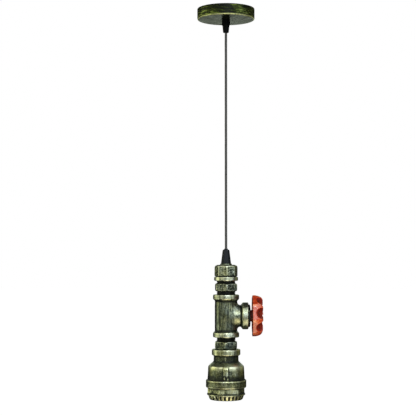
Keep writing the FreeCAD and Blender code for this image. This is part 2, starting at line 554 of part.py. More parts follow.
# ---------------------------------------------------------- reducing socket
outer = [(0, RED_TOP), (RED_TOP_BEAD_R, RED_TOP, 1.6), (RED_TOP_BEAD_R, -602.0, 1.6), (RED_NECK_R, -603.8, 0.6),
         (RED_NECK_R, -613.0, 4.0), (30.9, -621.4, 4.5), (RED_BODY_R, -642.8), (RED_BODY_R, -644.4),
         (RED_BEAD_R, -645.2, 1.6), (RED_BEAD_R, RED_BOT, 1.8), (0, RED_BOT)]
red = rev(outer)
for s in (-1, 1):
    rib = rev([(0, -619.5), (RED_BODY_R - 3.0, -619.5), (RED_BODY_R + 1.4, -624.5, 3.0), (RED_BODY_R + 1.9, -645.0), (0, -645.0)])
    rib = rib.common(Part.makeBox(9.4, 40, 60, V(-4.7 + 0.7 * s, 0 if s > 0 else -40, -660)))
    red = red.fuse(rib)
red = red.cut(cyl(THREAD_R, RED_TOP + 1, -609.9)).cut(cyl(15.2, -609, -614))
red = red.cut(rev([(0, -613.0), (15.2, -613.0), (27.2, -623.0, 4), (27.2, -636.0), (0, -636.0)]))
red = red.cut(cyl(THREAD2_R, -635.5, RED_BOT - 1)).removeSplitter()
export("reducing_socket", red)

# ---------------------------------------------------------- hexagon collar
col = ngon(6, COL_RC, COL_HEX_TOP, COL_HEX_BOT - 0.5, COL_TURN).common(
    rev([(0, COL_HEX_TOP), (30.4, COL_HEX_TOP), (COL_RC, COL_HEX_TOP - 1.0), (COL_RC, COL_HEX_BOT - 0.5), (0, COL_HEX_BOT - 0.5)]))
col = col.fuse(rev([(0, COL_HEX_BOT), (31.6, COL_HEX_BOT), (COL_FLANGE_R, COL_HEX_BOT - 1.2, 0.8),
                    (COL_FLANGE_R, COL_BOT, 0.8), (0, COL_BOT)]))
col = col.fuse(rev([(0, -637.5), (THREAD2_R - 1.0, -637.5), (THREAD2_R, -638.8), (THREAD2_R, COL_HEX_TOP - 0.5), (0, COL_HEX_TOP - 0.5)]))
col = col.cut(cyl(24.5, -636, COL_WEB_TOP)).cut(cyl(COL_HOLE_R, -660, COL_BOT - 1)).removeSplitter()
export("holder_collar", col)

# ---------------------------------------------------------- shade ring
sr = rev([(HOLDER_R, COL_BOT), (RING_R_TOP, COL_BOT, 0.6), (RING_R_TOP - 0.5, -673.2, 3.0), (RING_R_BOT + 0.9, -677.4, 1.2),
          (RING_R_BOT - 0.4, RING_BOT, 0.5), (25.0, RING_BOT, 0.5), (21.2, -674.6, 1.0), (HOLDER_R, -674.6)])
for i in range(RING_RIBS):
    a = math.radians(360.0 / RING_RIBS * i + RING_TURN)
    d = RING_R_TOP + 1.25
    n1 = Part.makeCylinder(2.3, 12, V(d * math.cos(a), d * math.sin(a), -671.6), V(-0.33 * math.cos(a), -0.33 * math.sin(a), -1))
    sr = sr.cut(n1)
export("shade_ring", sr.removeSplitter())

# ---------------------------------------------------------- lampholder
hold = rev([(0, -626.0), (12.5, -626.0, 2.0), (HOLDER_R, -632.5, 3.0), (HOLDER_R, COL_WEB_TOP + 2.2), (HOLDER_SHOULDER_R, COL_WEB_TOP + 2.2, 0.5),
            (HOLDER_SHOULDER_R, COL_WEB_TOP, 0.3), (HOLDER_R, COL_WEB_TOP), (HOLDER_R, -677.2, 0.6), (0, -677.2)])
hold = hold.cut(rev([(0, -628.2), (11.5, -628.2), (17.5, -633.5), (17.5, -650.0), (0, -650.0)]))
hold = hold.cut(cyl(15.0, -649.0, -680.0)).cut(cyl(5.5, -625, -629)).removeSplitter()
export("lampholder_body", hold)
CORE_TOP, CORE_BOT = -641.0, SHELL_TOP
core = rev([(0, CORE_TOP), (17.3, CORE_TOP, 0.6), (17.3, CORE_BOT + 0.1), (0, CORE_BOT + 0.1)])
HT = ((-9.0, 5.0), (9.0, 5.0))            # terminal screws on top of the core
HL = ((-9.0, -4.0), (9.0, -4.0))          # lead holes on top of the core
for (x, y) in HT:
    core = core.cut(cyl(1.5, CORE_TOP + 1, CORE_TOP - 5, x, y))
for (x, y) in HL:
    core = core.cut(cyl(1.1, CORE_TOP + 1, CORE_TOP - 5, x, y))
core = core.cut(cyl(1.5, CORE_TOP + 1, CORE_BOT - 1))
export("lampholder_core", core)
shell2 = rev([(8.5, SHELL_TOP), (SHELL_NECK_R + SHELL_WALL, SHELL_TOP), (SHELL_NECK_R + SHELL_WALL, SHELL_STEP + SHELL_WALL),
              (SHELL_R + SHELL_WALL, SHELL_STEP), (SHELL_R + SHELL_WALL, SHELL_BOT), (SHELL_R, SHELL_BOT), (SHELL_R, SHELL_STEP),
              (SHELL_NECK_R, SHELL_STEP + 0.3), (SHELL_NECK_R, SHELL_TOP - SHELL_WALL), (8.5, SHELL_TOP - SHELL_WALL)])
export("screw_shell", shell2)
cc = rev([(0, CORE_TOP - 1.0), (1.5, CORE_TOP - 1.0), (1.5, SHELL_TOP - 0.4), (4.0, SHELL_TOP - 0.4, 0.3), (4.0, SHELL_TOP - 1.0, 0.3),
          (2.2, SHELL_TOP - 3.2, 0.8), (0, SHELL_TOP - 3.4)])
export("centre_contact", cc)
export("lampholder_screws", Part.makeCompound(
    [cyl(1.5, CORE_TOP, CORE_TOP - 4.5, x, y).fuse(cyl(2.8, CORE_TOP, CORE_TOP + 1.8, x, y)).cut(
        Part.makeBox(6, 0.6, 0.9, V(x - 3, y - 0.3, CORE_TOP + 0.9))) for (x, y) in HT]))

# ---------------------------------------------------- cord end and leads
SHEATH_BOT = -497.0
export("cord_lower_end", cyl(CORD_R, CORD_END, SHEATH_BOT))
ringl = [(1.25 * math.cos(math.radians(a)), 1.25 * math.sin(math.radians(a))) for a in (20, 110, 200, 290)]
# live: down and out into the branch, into the upper hole of the switch
p = ringl[0]
path = [(p[0], p[1], SHEATH_BOT), (p[0], p[1], -506.0), (2.6, 1.8, -515.0), (6.2, 3.6, -525.0), (9.8, 3.6, TEE_Z + 6.0),
        (SWITCH_BACK_X + 3.0, 3.6, TEE_Z + 6.0)]
export("lead_live", tube(path, CORE_R, "lead_live"))
# switched live: from the lower hole of the switch, down to the lampholder
path = [(SWITCH_BACK_X + 3.0, 3.6, TEE_Z - 6.0), (9.4, 3.6, TEE_Z - 6.0), (5.4, 1.0, TEE_Z - 18.0), (4.6, -2.4, -572.0),
        (2.6, -3.0, -598.0), (2.3, -1.7, -620.0), (4.2, -2.6, -631.6), (9.0, -4.0, -635.2), (9.0, -4.0, CORE_TOP - 3.5)]
export("lead_switched", tube(path, CORE_R, "lead_switched"))
p = ringl[2]
path = [(p[0], p[1], SHEATH_BOT), (p[0], p[1], -508.0), (p[0] - 1.4, p[1] - 1.2, -524.0), (-4.2, -2.8, -548.0), (-3.0, -1.2, -576.0), (-3.4, 1.0, -600.0),
        (-2.8, -0.4, -620.0), (-4.6, -2.6, -631.6), (-9.0, -4.0, -635.6), (-9.0, -4.0, CORE_TOP - 3.5)]
export("lead_neutral", tube(path, CORE_R, "lead_neutral"))
# earth: to the screw on the tee's back wall
p = ringl[1]
LUG_Y = 0.0
path = [(p[0], p[1], SHEATH_BOT), (p[0], p[1], -503.0), (-3.6, 2.0, -508.6), (-8.2, 0.6, -512.6), (-10.1, 0.0, -516.4), (-10.1, 0.0, -520.7)]
export("lead_earth", tube(path, CORE_R, "lead_earth"))
pad_face = -11.7
lug = Part.makeCylinder(3.4, 0.7, V(pad_face, 0, EARTH_Z), V(1, 0, 0)).cut(
    Part.makeCylinder(1.6, 3, V(pad_face - 1, 0, EARTH_Z), V(1, 0, 0)))
lug = lug.fuse(Part.makeBox(0.7, 2.4, 3.6, V(pad_face, -1.2, EARTH_Z + 2.6)))
lug = lug.fuse(Part.makeCylinder(1.5, 2.2, V(-10.1, 0, -521.0 - 1.9), V(0, 0, 1)))
export("earth_lug", lug.removeSplitter())
scr = Part.makeCylinder(1.6, 5.4, V(-16.4, 0, EARTH_Z), V(1, 0, 0)).fuse(
    Part.makeCylinder(2.9, 2.0, V(pad_face + 0.7, 0, EARTH_Z), V(1, 0, 0)))
scr = scr.cut(Part.makeBox(1.1, 0.7, 8, V(pad_face + 1.7, -0.35, EARTH_Z - 4))).removeSplitter()
export("earth_screw", scr)

# ------------------------------------------------------------------ report
big = None
for name, s in NODES:
    bb = s.BoundBox
    n = len(s.Solids)
    print("%-24s solids %d valid %s vol %9.1f  x %.1f %.1f y %.1f %.1f z %.1f %.1f"
          % (name, n, s.isValid(), s.Volume, bb.XMin, bb.XMax, bb.YMin, bb.YMax, bb.ZMin, bb.ZMax))
print(len(NODES), "nodes")
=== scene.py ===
# Pipe pendant light: the looks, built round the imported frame.
# Sizes in this script are millimetres; Blender gets metres.
import math

import bpy
import numpy as np
from mathutils import Matrix, Vector


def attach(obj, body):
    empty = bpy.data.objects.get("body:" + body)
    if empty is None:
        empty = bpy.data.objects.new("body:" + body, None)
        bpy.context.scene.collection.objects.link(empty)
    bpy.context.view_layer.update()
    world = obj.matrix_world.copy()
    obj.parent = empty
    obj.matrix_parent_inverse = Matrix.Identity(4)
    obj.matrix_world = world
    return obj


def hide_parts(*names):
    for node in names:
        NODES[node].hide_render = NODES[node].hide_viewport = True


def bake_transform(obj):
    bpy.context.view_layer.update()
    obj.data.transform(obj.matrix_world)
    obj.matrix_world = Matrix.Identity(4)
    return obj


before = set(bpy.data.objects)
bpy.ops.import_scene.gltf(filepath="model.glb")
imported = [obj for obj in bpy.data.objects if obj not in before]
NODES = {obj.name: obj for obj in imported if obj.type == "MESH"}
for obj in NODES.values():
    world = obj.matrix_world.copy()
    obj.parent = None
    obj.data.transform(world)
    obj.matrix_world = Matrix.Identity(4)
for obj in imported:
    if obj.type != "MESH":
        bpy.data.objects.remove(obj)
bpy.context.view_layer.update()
MM = 0.001
PI = math.pi
TEE_Z = -535.1


# ------------------------------------------------------------------- camera
# Found from the photo: two heights of the object against their rows give the
# focal length, the distance and the tilt.
cam_data = bpy.data.cameras.new("camera")
cam_data.sensor_width = 36.0
cam_data.lens = 1134.0 / 416.0 * 36.0
cam_data.clip_start, cam_data.clip_end = 0.05, 200.0
camera = bpy.data.objects.new("camera", cam_data)
camera.location = (-0.0313, -1.970, -0.4194)
camera.rotation_euler = (math.radians(90.0 + 2.07), 0.0, 0.0)
bpy.context.scene.collection.objects.link(camera)
bpy.context.scene.camera = camera


# ------------------------------------------------------------ numeric noise
def lattice(ix, iy, iz, seed):
    n = (ix * 374761393 + iy * 668265263 + iz * 1442695041 + seed * 1274126177) & 0xFFFFFFFF
    n = ((n ^ (n >> 13)) * 1274126177) & 0xFFFFFFFF
    n = n ^ (n >> 16)
    return (n & 0xFFFFFF) / float(0xFFFFFF) * 2.0 - 1.0


def noise(p, size, seed):
    """Smooth value noise, -1..1, with features about size across."""
    q = p / size + seed * 7.31
    i = np.floor(q).astype(np.int64)
    f = q - i
    f = f * f * (3 - 2 * f)
    out = 0.0
    for dx in (0, 1):
        wx = f[..., 0] if dx else 1 - f[..., 0]
        for dy in (0, 1):
            wy = f[..., 1] if dy else 1 - f[..., 1]
            for dz in (0, 1):
                wz = f[..., 2] if dz else 1 - f[..., 2]
                out = out + wx * wy * wz * lattice(i[..., 0] + dx, i[..., 1] + dy, i[..., 2] + dz, seed)
    return out


def fbm(p, size, seed, octaves=3):
    out, amp, total = 0.0, 1.0, 0.0
    for k in range(octaves):
        out = out + amp * noise(p, size / 2 ** k, seed + 11 * k)
        total += amp
        amp *= 0.5
    return out / total


def smin(a, b, k):
    h = np.clip(1 - np.abs(a - b) / k, 0, None)
    return np.minimum(a, b) - h * h * k * 0.25


def smax(a, b, k):
    return -smin(-a, -b, k)


def step01(x, lo, hi):
    t = np.clip((x - lo) / (hi - lo), 0, 1)
    return t * t * (3 - 2 * t)


# ----------------------------------------------------------------- outlines
def rounded(points, closed=True):
    """Outline points (a, b[, radius[, extra]]) with true arcs at the radii, as rows (a, b, extra)."""
    n = len(points)
    rows = []
    for i, p in enumerate(points):
        here = np.array(p[:2], float)
        radius = p[2] if len(p) > 2 else 0.0
        extra = p[3] if len(p) > 3 else 0.0
        if radius <= 0 or (not closed and i in (0, n - 1)):
            rows.append((*here, extra))
            continue
        before, after = np.array(points[i - 1][:2], float), np.array(points[(i + 1) % n][:2], float)
        u, v = before - here, after - here
        lu, lv = np.linalg.norm(u), np.linalg.norm(v)
        u, v = u / lu, v / lv
        angle = math.acos(max(-1.0, min(1.0, float(u @ v))))
        reach = min(radius / math.tan(angle / 2), 0.49 * lu, 0.49 * lv)
        radius = reach * math.tan(angle / 2)
        start, end = here + u * reach, here + v * reach
        middle = here + (u + v) / np.linalg.norm(u + v) * radius / math.sin(angle / 2)
        a0 = math.atan2(*(start - middle)[::-1])
        a1 = math.atan2(*(end - middle)[::-1])
        turn = (a1 - a0 + PI) % (2 * PI) - PI
        steps = max(3, int(abs(turn) * radius / 0.15))
        for s in range(steps + 1):
            a = a0 + turn * s / steps
            rows.append((middle[0] + radius * math.cos(a), middle[1] + radius * math.sin(a), extra))
    return np.array(rows)


def resample(rows, pitch, closed=True, soften=0.0):
    """Evenly walked outline. pitch is a number or a function of (a, b) that gives the spacing there.
    soften rounds every edge by about that many millimetres."""
    pts = np.vstack([rows, rows[:1]]) if closed else rows
    seg = np.linalg.norm(np.diff(pts[:, :2], axis=0), axis=1)
    keep = np.concatenate([[True], seg > 1e-6])
    pts = pts[keep]
    seg = np.linalg.norm(np.diff(pts[:, :2], axis=0), axis=1)
    s = np.concatenate([[0], np.cumsum(seg)])
    fine_n = max(16, int(s[-1] / 0.08))
    fine_s = np.linspace(0, s[-1], fine_n, endpoint=not closed)
    fine = np.stack([np.interp(fine_s, s, pts[:, c]) for c in range(pts.shape[1])], 1)
    if soften > 0:
        sigma = soften / (s[-1] / fine_n)
        half = int(3 * sigma) + 1
        kernel = np.exp(-0.5 * (np.arange(-half, half + 1) / sigma) ** 2)
        kernel /= kernel.sum()
        for c in (0, 1):
            if closed:
                wide = np.concatenate([fine[-half:, c], fine[:, c], fine[:half, c]])
                fine[:, c] = np.convolve(wide, kernel, "valid")
            else:
                lo, hi = fine[0, c], fine[-1, c]
                wide = np.concatenate([2 * lo - fine[half:0:-1, c], fine[:, c], 2 * hi - fine[-2:-half - 2:-1, c]])
                fine[:, c] = np.convolve(wide, kernel, "valid")
    want = np.array([pitch(*row[:2]) for row in fine]) if callable(pitch) else np.full(fine_n, float(pitch))
    density = 1.0 / want
    walked = np.concatenate([[0], np.cumsum(density)]) * (s[-1] / fine_n)
    count = max(8, int(round(walked[-1])))
    marks = np.linspace(0, walked[-1], count, endpoint=not closed)
    where = np.interp(marks, walked, np.arange(fine_n + 1))
    if closed:
        ring = np.vstack([fine, fine[:1]])
        return np.stack([np.interp(where, np.arange(fine_n + 1), ring[:, c]) for c in range(ring.shape[1])], 1)
    return np.stack([np.interp(np.clip(where, 0, fine_n - 1), np.arange(fine_n), fine[:, c]) for c in range(fine.shape[1])], 1)


def polygon_r(theta, sides, rc, corner, rho):
    """Radius of a polygon with rounded corners. corner is the angle of one corner."""
    half = PI / sides
    a = rc * math.cos(half) if np.isscalar(rc) else rc * math.cos(half)
    g = (theta - corner + half) % (2 * half) - half
    d = half - np.abs(g)
    flat = a / np.cos(d)
    c = (a - rho) / math.cos(half)
    arc = c * np.cos(g) + np.sqrt(np.clip(rho ** 2 - (c * np.sin(g)) ** 2, 0, None))
    return np.where(a * np.tan(d) < c * math.sin(half), flat, arc)


def turn(degrees):
    """Angle, from +X, of a direction measured from the front towards +X."""
    return math.radians(degrees - 90.0)


# ------------------------------------------------------------------- meshes
def build(name, verts, quads, tris=None, uv=None):
    me = bpy.data.meshes.new(name)
    v = np.asarray(verts, np.float64) * MM
    quads = np.asarray(quads, np.int32).reshape(-1, 4)
    tris = np.zeros((0, 3), np.int32) if tris is None else np.asarray(tris, np.int32).reshape(-1, 3)
    me.vertices.add(len(v))
    me.vertices.foreach_set("co", v.astype(np.float32).ravel())
    loops = np.concatenate([quads.ravel(), tris.ravel()])
    me.loops.add(len(loops))
    me.loops.foreach_set("vertex_index", loops)
    total = np.concatenate([np.full(len(quads), 4, np.int32), np.full(len(tris), 3, np.int32)])
    start = np.concatenate([[0], np.cumsum(total)[:-1]]).astype(np.int32)
    me.polygons.add(len(total))
    me.polygons.foreach_set("loop_start", start)
    me.polygons.foreach_set("loop_total", total)
    me.polygons.foreach_set("use_smooth", np.ones(len(total), bool))
    me.update(calc_edges=True)
    me.validate()
    obj = bpy.data.objects.new(name, me)
    bpy.context.scene.collection.objects.link(obj)
    return obj


def attribute(obj, name, values):
    a = obj.data.attributes.new(name, "FLOAT", "POINT")
    a.data.foreach_set("value", np.asarray(values, np.float32).ravel())


def normals(v, quads):
    a, b, c, d = (v[quads[:, k]] for k in range(4))
    n = np.cross(c - a, d - b)
    out = np.zeros_like(v)
    for k in range(4):
        for ax in range(3):
            out[:, ax] += np.bincount(quads[:, k], n[:, ax], len(v))
    return out / np.maximum(np.linalg.norm(out, axis=1, keepdims=True), 1e-12)


def edges_of(quads, n):
    e = np.concatenate([quads[:, [0, 1]], quads[:, [1, 2]], quads[:, [2, 3]], quads[:, [3, 0]]])
    e = np.sort(e, 1)
    key = np.unique(e[:, 0].astype(np.int64) * n + e[:, 1])
    key = key[(key // n) != (key % n)]
    return key // n, key % n


def relax(values, e, rounds):
    """Umbrella smoothing of per-vertex values."""
    i, j = e
    n = len(values)
    deg = np.maximum(np.bincount(i, minlength=n) + np.bincount(j, minlength=n), 1)
    flat = values.reshape(n, -1).copy()
    for _ in range(rounds):
        new = np.empty_like(flat)
        for c in range(flat.shape[1]):
            acc = np.bincount(i, flat[j, c], n) + np.bincount(j, flat[i, c], n)
            new[:, c] = acc / deg
        flat = 0.5 * flat + 0.5 * new
    return flat.reshape(values.shape)


def standing_out(v, quads, tight=10, wide=70):
    """How far each vertex stands out of its smoothed neighbourhood, in millimetres, at two scales."""
    e = edges_of(quads, len(v))
    n = normals(v, quads)
    p1 = relax(v, e, tight)
    p2 = relax(p1, e, wide - tight)
    return ((v - p1) * n).sum(1), ((v - p2) * n).sum(1), n


def to_branch(v):
    """Local +Z along the tee's branch, local -X up."""
    return np.stack([v[:, 2], v[:, 1], -v[:, 0] + TEE_Z], 1)


def ring_quads(rows, cols, closed_rows):
    i = np.arange(rows if closed_rows else rows - 1)
    j = np.arange(cols)
    a, b = np.meshgrid(i, j, indexing="ij")
    a2, b2 = (a + 1) % rows, (b + 1) % cols
    return np.stack([a * cols + b, a2 * cols + b, a2 * cols + b2, a * cols + b2], -1).reshape(-1, 4)


def lathe(name, points, cols, pitch=0.6, soften=0.35, shape=None, cast=0.0, seed=1, closed=True, branch=False, flip=False,
          wear=True, tight=10, wide=70):
    """A turned piece: the outline (r, z) goes round the axis. shape(theta, r, z, extra) may change the radius.
    A closed outline is a ring; an open one starts and ends on the axis and gets pole vertices."""
    rows = resample(rounded(points, closed), pitch, closed, soften)
    poles = not closed
    if poles:
        first, last = rows[0], rows[-1]
        rows = rows[1:-1]
    th = np.arange(cols) * 2 * PI / cols
    r = np.repeat(rows[:, :1], cols, 1)
    z = np.repeat(rows[:, 1:2], cols, 1)
    extra = np.repeat(rows[:, 2:3], cols, 1)
    tt = np.repeat(th[None], len(rows), 0)
    if shape:
        res = shape(tt, r, z, extra)
        r, z = res if isinstance(res, tuple) else (res, z)
    v = np.stack([r * np.cos(tt), r * np.sin(tt), z], -1).reshape(-1, 3)
    quads = ring_quads(len(rows), cols, closed)
    tris = None
    if poles:
        a, b = len(v), len(v) + 1
        v = np.vstack([v, [0, 0, first[1]], [0, 0, last[1]]])
        j = np.arange(cols)
        k = (j + 1) % cols
        end = (len(rows) - 1) * cols
        tris = np.concatenate([np.stack([np.full(cols, a), j, k], 1), np.stack([end + j, np.full(cols, b), end + k], 1)])
    # outward side: the signed volume tells
    a, b, c, d = (v[quads[:, q]] for q in range(4))
    volume = (np.einsum("ij,ij->i", a, np.cross(b, c)) + np.einsum("ij,ij->i", a, np.cross(c, d))).sum()
    if volume < 0:
        quads = quads[:, ::-1]
        tris = None if tris is None else tris[:, ::-1]
    if branch:
        v = to_branch(v)
    if cast > 0:
        n = normals(v, quads)
        v = v + n * (cast * (0.65 * fbm(v, 5.0, seed, 2) + 0.35 * noise(v, 1.9, seed + 5)))[:, None]
    obj = build(name, v, quads, tris)
    if wear:
        fine, broad, n = standing_out(v, quads, tight, wide)
        attribute(obj, "fine", fine)
        attribute(obj, "broad", broad)
    return obj, v, quads


# ------------------------------------------------------------ distance field
class Outline:
    """Distance to a closed (r, z) outline, negative inside, softened so that edges come out rounded."""

    def __init__(self, points, soften=0.45, h=0.3, margin=5.0):
        pts = rounded(points)[:, :2]
        self.h = h
        lo = pts.min(0) - margin
        hi = pts.max(0) + margin
        self.lo = lo
        nx, ny = (np.ceil((hi - lo) / h).astype(int) + 1)
        gx = lo[0] + np.arange(nx) * h
        gy = lo[1] + np.arange(ny) * h
        X, Y = np.meshgrid(gx, gy, indexing="ij")
        best = np.full(X.shape, 1e9)
        inside = np.zeros(X.shape, bool)
        for k in range(len(pts)):
            a, b = pts[k], pts[(k + 1) % len(pts)]
            d = b - a
            L = d @ d
            if L < 1e-12:
                continue
            t = np.clip(((X - a[0]) * d[0] + (Y - a[1]) * d[1]) / L, 0, 1)
            best = np.minimum(best, (X - a[0] - t * d[0]) ** 2 + (Y - a[1] - t * d[1]) ** 2)
            if abs(d[1]) > 1e-12:
                cross = ((Y >= min(a[1], b[1])) & (Y < max(a[1], b[1])))
                xi = a[0] + (Y - a[1]) / d[1] * d[0]
                inside ^= cross & (X < xi)
        f = np.sqrt(best)
        f[inside] *= -1
        if soften > 0:
            half = int(3 * soften / h) + 1
            k = np.exp(-0.5 * (np.arange(-half, half + 1) * h / soften) ** 2)
            k /= k.sum()
            wide = np.pad(f, half, mode="edge")
            wide = np.apply_along_axis(lambda m: np.convolve(m, k, "valid"), 0, wide)
            f = np.apply_along_axis(lambda m: np.convolve(m, k, "valid"), 1, wide)
        self.f = f

    def __call__(self, r, z):
        x = np.clip((r - self.lo[0]) / self.h, 0, self.f.shape[0] - 1.001)
        y = np.clip((z - self.lo[1]) / self.h, 0, self.f.shape[1] - 1.001)
        i, j = x.astype(np.int64), y.astype(np.int64)
        u, w = x - i, y - j
        f = self.f
        return (f[i, j] * (1 - u) * (1 - w) + f[i + 1, j] * u * (1 - w) + f[i, j + 1] * (1 - u) * w + f[i + 1, j + 1] * u * w)


def surface_net(f, lo, hi, h):
    """Quad mesh of the zero level of f over a box, one vertex per crossed cell."""
    lo, hi = np.array(lo, float), np.array(hi, float)
    n = np.ceil((hi - lo) / h).astype(int) + 1
    ax = [lo[k] + np.arange(n[k]) * h for k in range(3)]
    val = np.empty(tuple(n), np.float32)
    for i in range(0, n[0], 16):
        X, Y, Z = np.meshgrid(ax[0][i:i + 16], ax[1], ax[2], indexing="ij")
        val[i:i + 16] = f(np.stack([X, Y, Z], -1).reshape(-1, 3)).reshape(X.shape)
    s = val < 0
    c = [s[a:n[0] - 1 + a, b:n[1] - 1 + b, d:n[2] - 1 + d] for a in (0, 1) for b in (0, 1) for d in (0, 1)]
    some = np.logical_or.reduce(c) & ~np.logical_and.reduce(c)
    I, J, K = np.nonzero(some)
    acc = np.zeros((len(I), 3))
    cnt = np.zeros(len(I))
    corner = [(a, b, d) for a in (0, 1) for b in (0, 1) for d in (0, 1)]
    for p in range(8):
        for q in range(p + 1, 8):
            pa, qa = corner[p], corner[q]
            if sum(abs(x - y) for x, y in zip(pa, qa)) != 1:
                continue
            va = val[I + pa[0], J + pa[1], K + pa[2]]
            vb = val[I + qa[0], J + qa[1], K + qa[2]]
            m = (va < 0) != (vb < 0)
            t = np.where(m, va / np.where(m, va - vb, 1), 0)
            for k in range(3):
                acc[:, k] += np.where(m, pa[k] + t * (qa[k] - pa[k]), 0)
            cnt += m
    v = lo + (np.stack([I, J, K], 1) + acc / cnt[:, None]) * h
    index = np.full(some.shape, -1, np.int64)
    index[I, J, K] = np.arange(len(I))
    quads = []
    for axis in range(3):
        a = np.moveaxis(s, axis, 0)
        idx = np.moveaxis(index, axis, 0)
        flipped = a[:-1] != a[1:]
        i, j, k = np.nonzero(flipped[:, 1:-1, 1:-1])
        j, k = j + 1, k + 1
        q = np.stack([idx[i, j - 1, k - 1], idx[i, j, k - 1], idx[i, j, k], idx[i, j - 1, k]], 1)
        rising = a[i, j, k]
        if axis == 1:
            rising = ~rising
        q[~rising] = q[~rising][:, ::-1]
        quads.append(q)
    quads = np.concatenate(quads)
    quads = quads[(quads >= 0).all(1)]
    e = edges_of(quads, len(v))
    for k in range(3):
        v = pull(f, v)
        if k < 2:
            moved = relax(v, e, 1)
            v = v + 0.6 * (moved - v)
    return pull(f, v), quads


def gradient(f, v, eps=0.08):
    g = np.empty_like(v)
    for k in range(3):
        d = np.zeros(3)
        d[k] = eps
        g[:, k] = (f(v + d) - f(v - d)) / (2 * eps)
    return g


def pull(f, v):
    g = gradient(f, v)
    length = np.maximum((g * g).sum(1), 0.05)
    d = f(v)
    move = g * (d / length)[:, None]
    far = np.linalg.norm(move, axis=1, keepdims=True)
    return v - move * np.minimum(1, 0.4 / np.maximum(far, 1e-9))


def field(name, f, lo, hi, h, cast=0.0, seed=1, tight=10, wide=70):
    v, quads = surface_net(f, lo, hi, h)
    if cast > 0:
        n = normals(v, quads)
        v = v + n * (cast * (0.65 * fbm(v, 5.0, seed, 2) + 0.35 * noise(v, 1.9, seed + 5)))[:, None]
    obj = build(name, v, quads)
    fine, broad, n = standing_out(v, quads, tight, wide)
    attribute(obj, "fine", fine)
    attribute(obj, "broad", broad)
    return obj, v, quads


def place(obj, body, slot, material, *nodes):
    obj.data.materials.append(material)
    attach(obj, body)
    if nodes:
        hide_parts(*nodes)
    return obj


# ---------------------------------------------------------------- materials
class Paint:
    """A material's nodes, with short calls."""

    def __init__(self, name):
        self.m = bpy.data.materials.new(name)
        self.m.use_nodes = True
        self.t = self.m.node_tree
        self.t.nodes.clear()
        self.out = self.t.nodes.new("ShaderNodeOutputMaterial")
        self.b = self.t.nodes.new("ShaderNodeBsdfPrincipled")
        self.t.links.new(self.b.outputs[0], self.out.inputs[0])

    def put(self, socket, value):
        if isinstance(value, bpy.types.NodeSocket):
            self.t.links.new(value, socket)
        elif value is not None:
            if hasattr(socket.default_value, "__len__") and len(socket.default_value) == 4 and len(value) == 3:
                value = (*value, 1.0)
            socket.default_value = value

    def node(self, kind, inputs=(), **props):
        n = self.t.nodes.new("ShaderNode" + kind)
        for k, v in props.items():
            setattr(n, k, v)
        for k, v in dict(inputs).items():
            self.put(n.inputs[k], v)
        return n

    def set(self, **values):
        names = {"color": "Base Color", "rough": "Roughness", "metal": "Metallic", "coat": "Coat Weight",
                 "coat_rough": "Coat Roughness", "ior": "IOR", "normal": "Normal", "sheen": "Sheen Weight",
                 "sheen_rough": "Sheen Roughness", "spec": "Specular IOR Level", "sss": "Subsurface Weight",
                 "coat_normal": "Coat Normal"}
        for k, v in values.items():
            self.put(self.b.inputs[names[k]], v)
        return self

    def math(self, op, a, b=None, c=None, clamp=False):
        n = self.node("Math", operation=op, use_clamp=clamp)
        for k, v in enumerate((a, b, c)):
            if v is not None:
                self.put(n.inputs[k], v)
        return n.outputs[0]

    def add(self, *parts):
        out = parts[0]
        for p in parts[1:]:
            out = self.math("ADD", out, p)
        return out

    def mul(self, a, b):
        return self.math("MULTIPLY", a, b)

    def span(self, x, lo, hi, a=0.0, b=1.0, smooth=False):
        n = self.node("MapRange", {0: x, 1: lo, 2: hi, 3: a, 4: b}, clamp=True)
        n.interpolation_type = "SMOOTHSTEP" if smooth else "LINEAR"
        return n.outputs[0]

    def mm(self):
        tc = self.node("TexCoord")
        n = self.node("VectorMath", operation="SCALE")
        self.put(n.inputs[0], tc.outputs["Object"])
        n.inputs["Scale"].default_value = 1000.0
        return n.outputs[0]

    def scaled(self, vec, x, y, z, turned=(0, 0, 0)):
        n = self.node("Mapping", {"Vector": vec})
        n.inputs["Scale"].default_value = (x, y, z)
        n.inputs["Rotation"].default_value = turned
        return n.outputs[0]

    def noise(self, vec, size, detail=2.0, rough=0.5, wave=0.0, centred=True):
        """Noise with features about size across; centred runs about -1..1."""
        n = self.node("TexNoise", {"Vector": vec, "Scale": 1.0 / size, "Detail": detail, "Roughness": rough, "Distortion": wave})
        f = n.outputs["Fac"] if "Fac" in n.outputs else n.outputs[0]
        return self.math("MULTIPLY_ADD", f, 4.0, -2.0) if centred else f

    def cells(self, vec, size, feature="F1", out="Distance", rand=1.0):
        n = self.node("TexVoronoi", {"Vector": vec, "Scale": 1.0 / size, "Randomness": rand}, feature=feature)
        return n.outputs[out]

    def attr(self, name, out="Fac"):
        n = self.node("Attribute", attribute_name=name)
        return n.outputs[out]

    def ramp(self, fac, stops, mode="LINEAR"):
        n = self.node("ValToRGB", {"Fac": fac})
        n.color_ramp.interpolation = mode
        els = n.color_ramp.elements
        while len(els) < len(stops):
            els.new(0.5)
        for e, (pos, col) in zip(els, stops):
            e.position = pos
            e.color = (*col, 1.0) if len(col) == 3 else col
        return n.outputs["Color"]

    def mix(self, fac, a, b, mode="MIX"):
        n = self.node("Mix", data_type="RGBA", blend_type=mode)
        self.put(n.inputs["Factor"], fac)
        self.put(n.inputs[6], a)
        self.put(n.inputs[7], b)
        return n.outputs[2]

    def bump(self, height, distance, strength=1.0, normal=None):
        n = self.node("Bump", {"Height": height, "Strength": strength, "Distance": distance * MM})
        if normal is not None:
            self.put(n.inputs["Normal"], normal)
        return n.outputs[0]


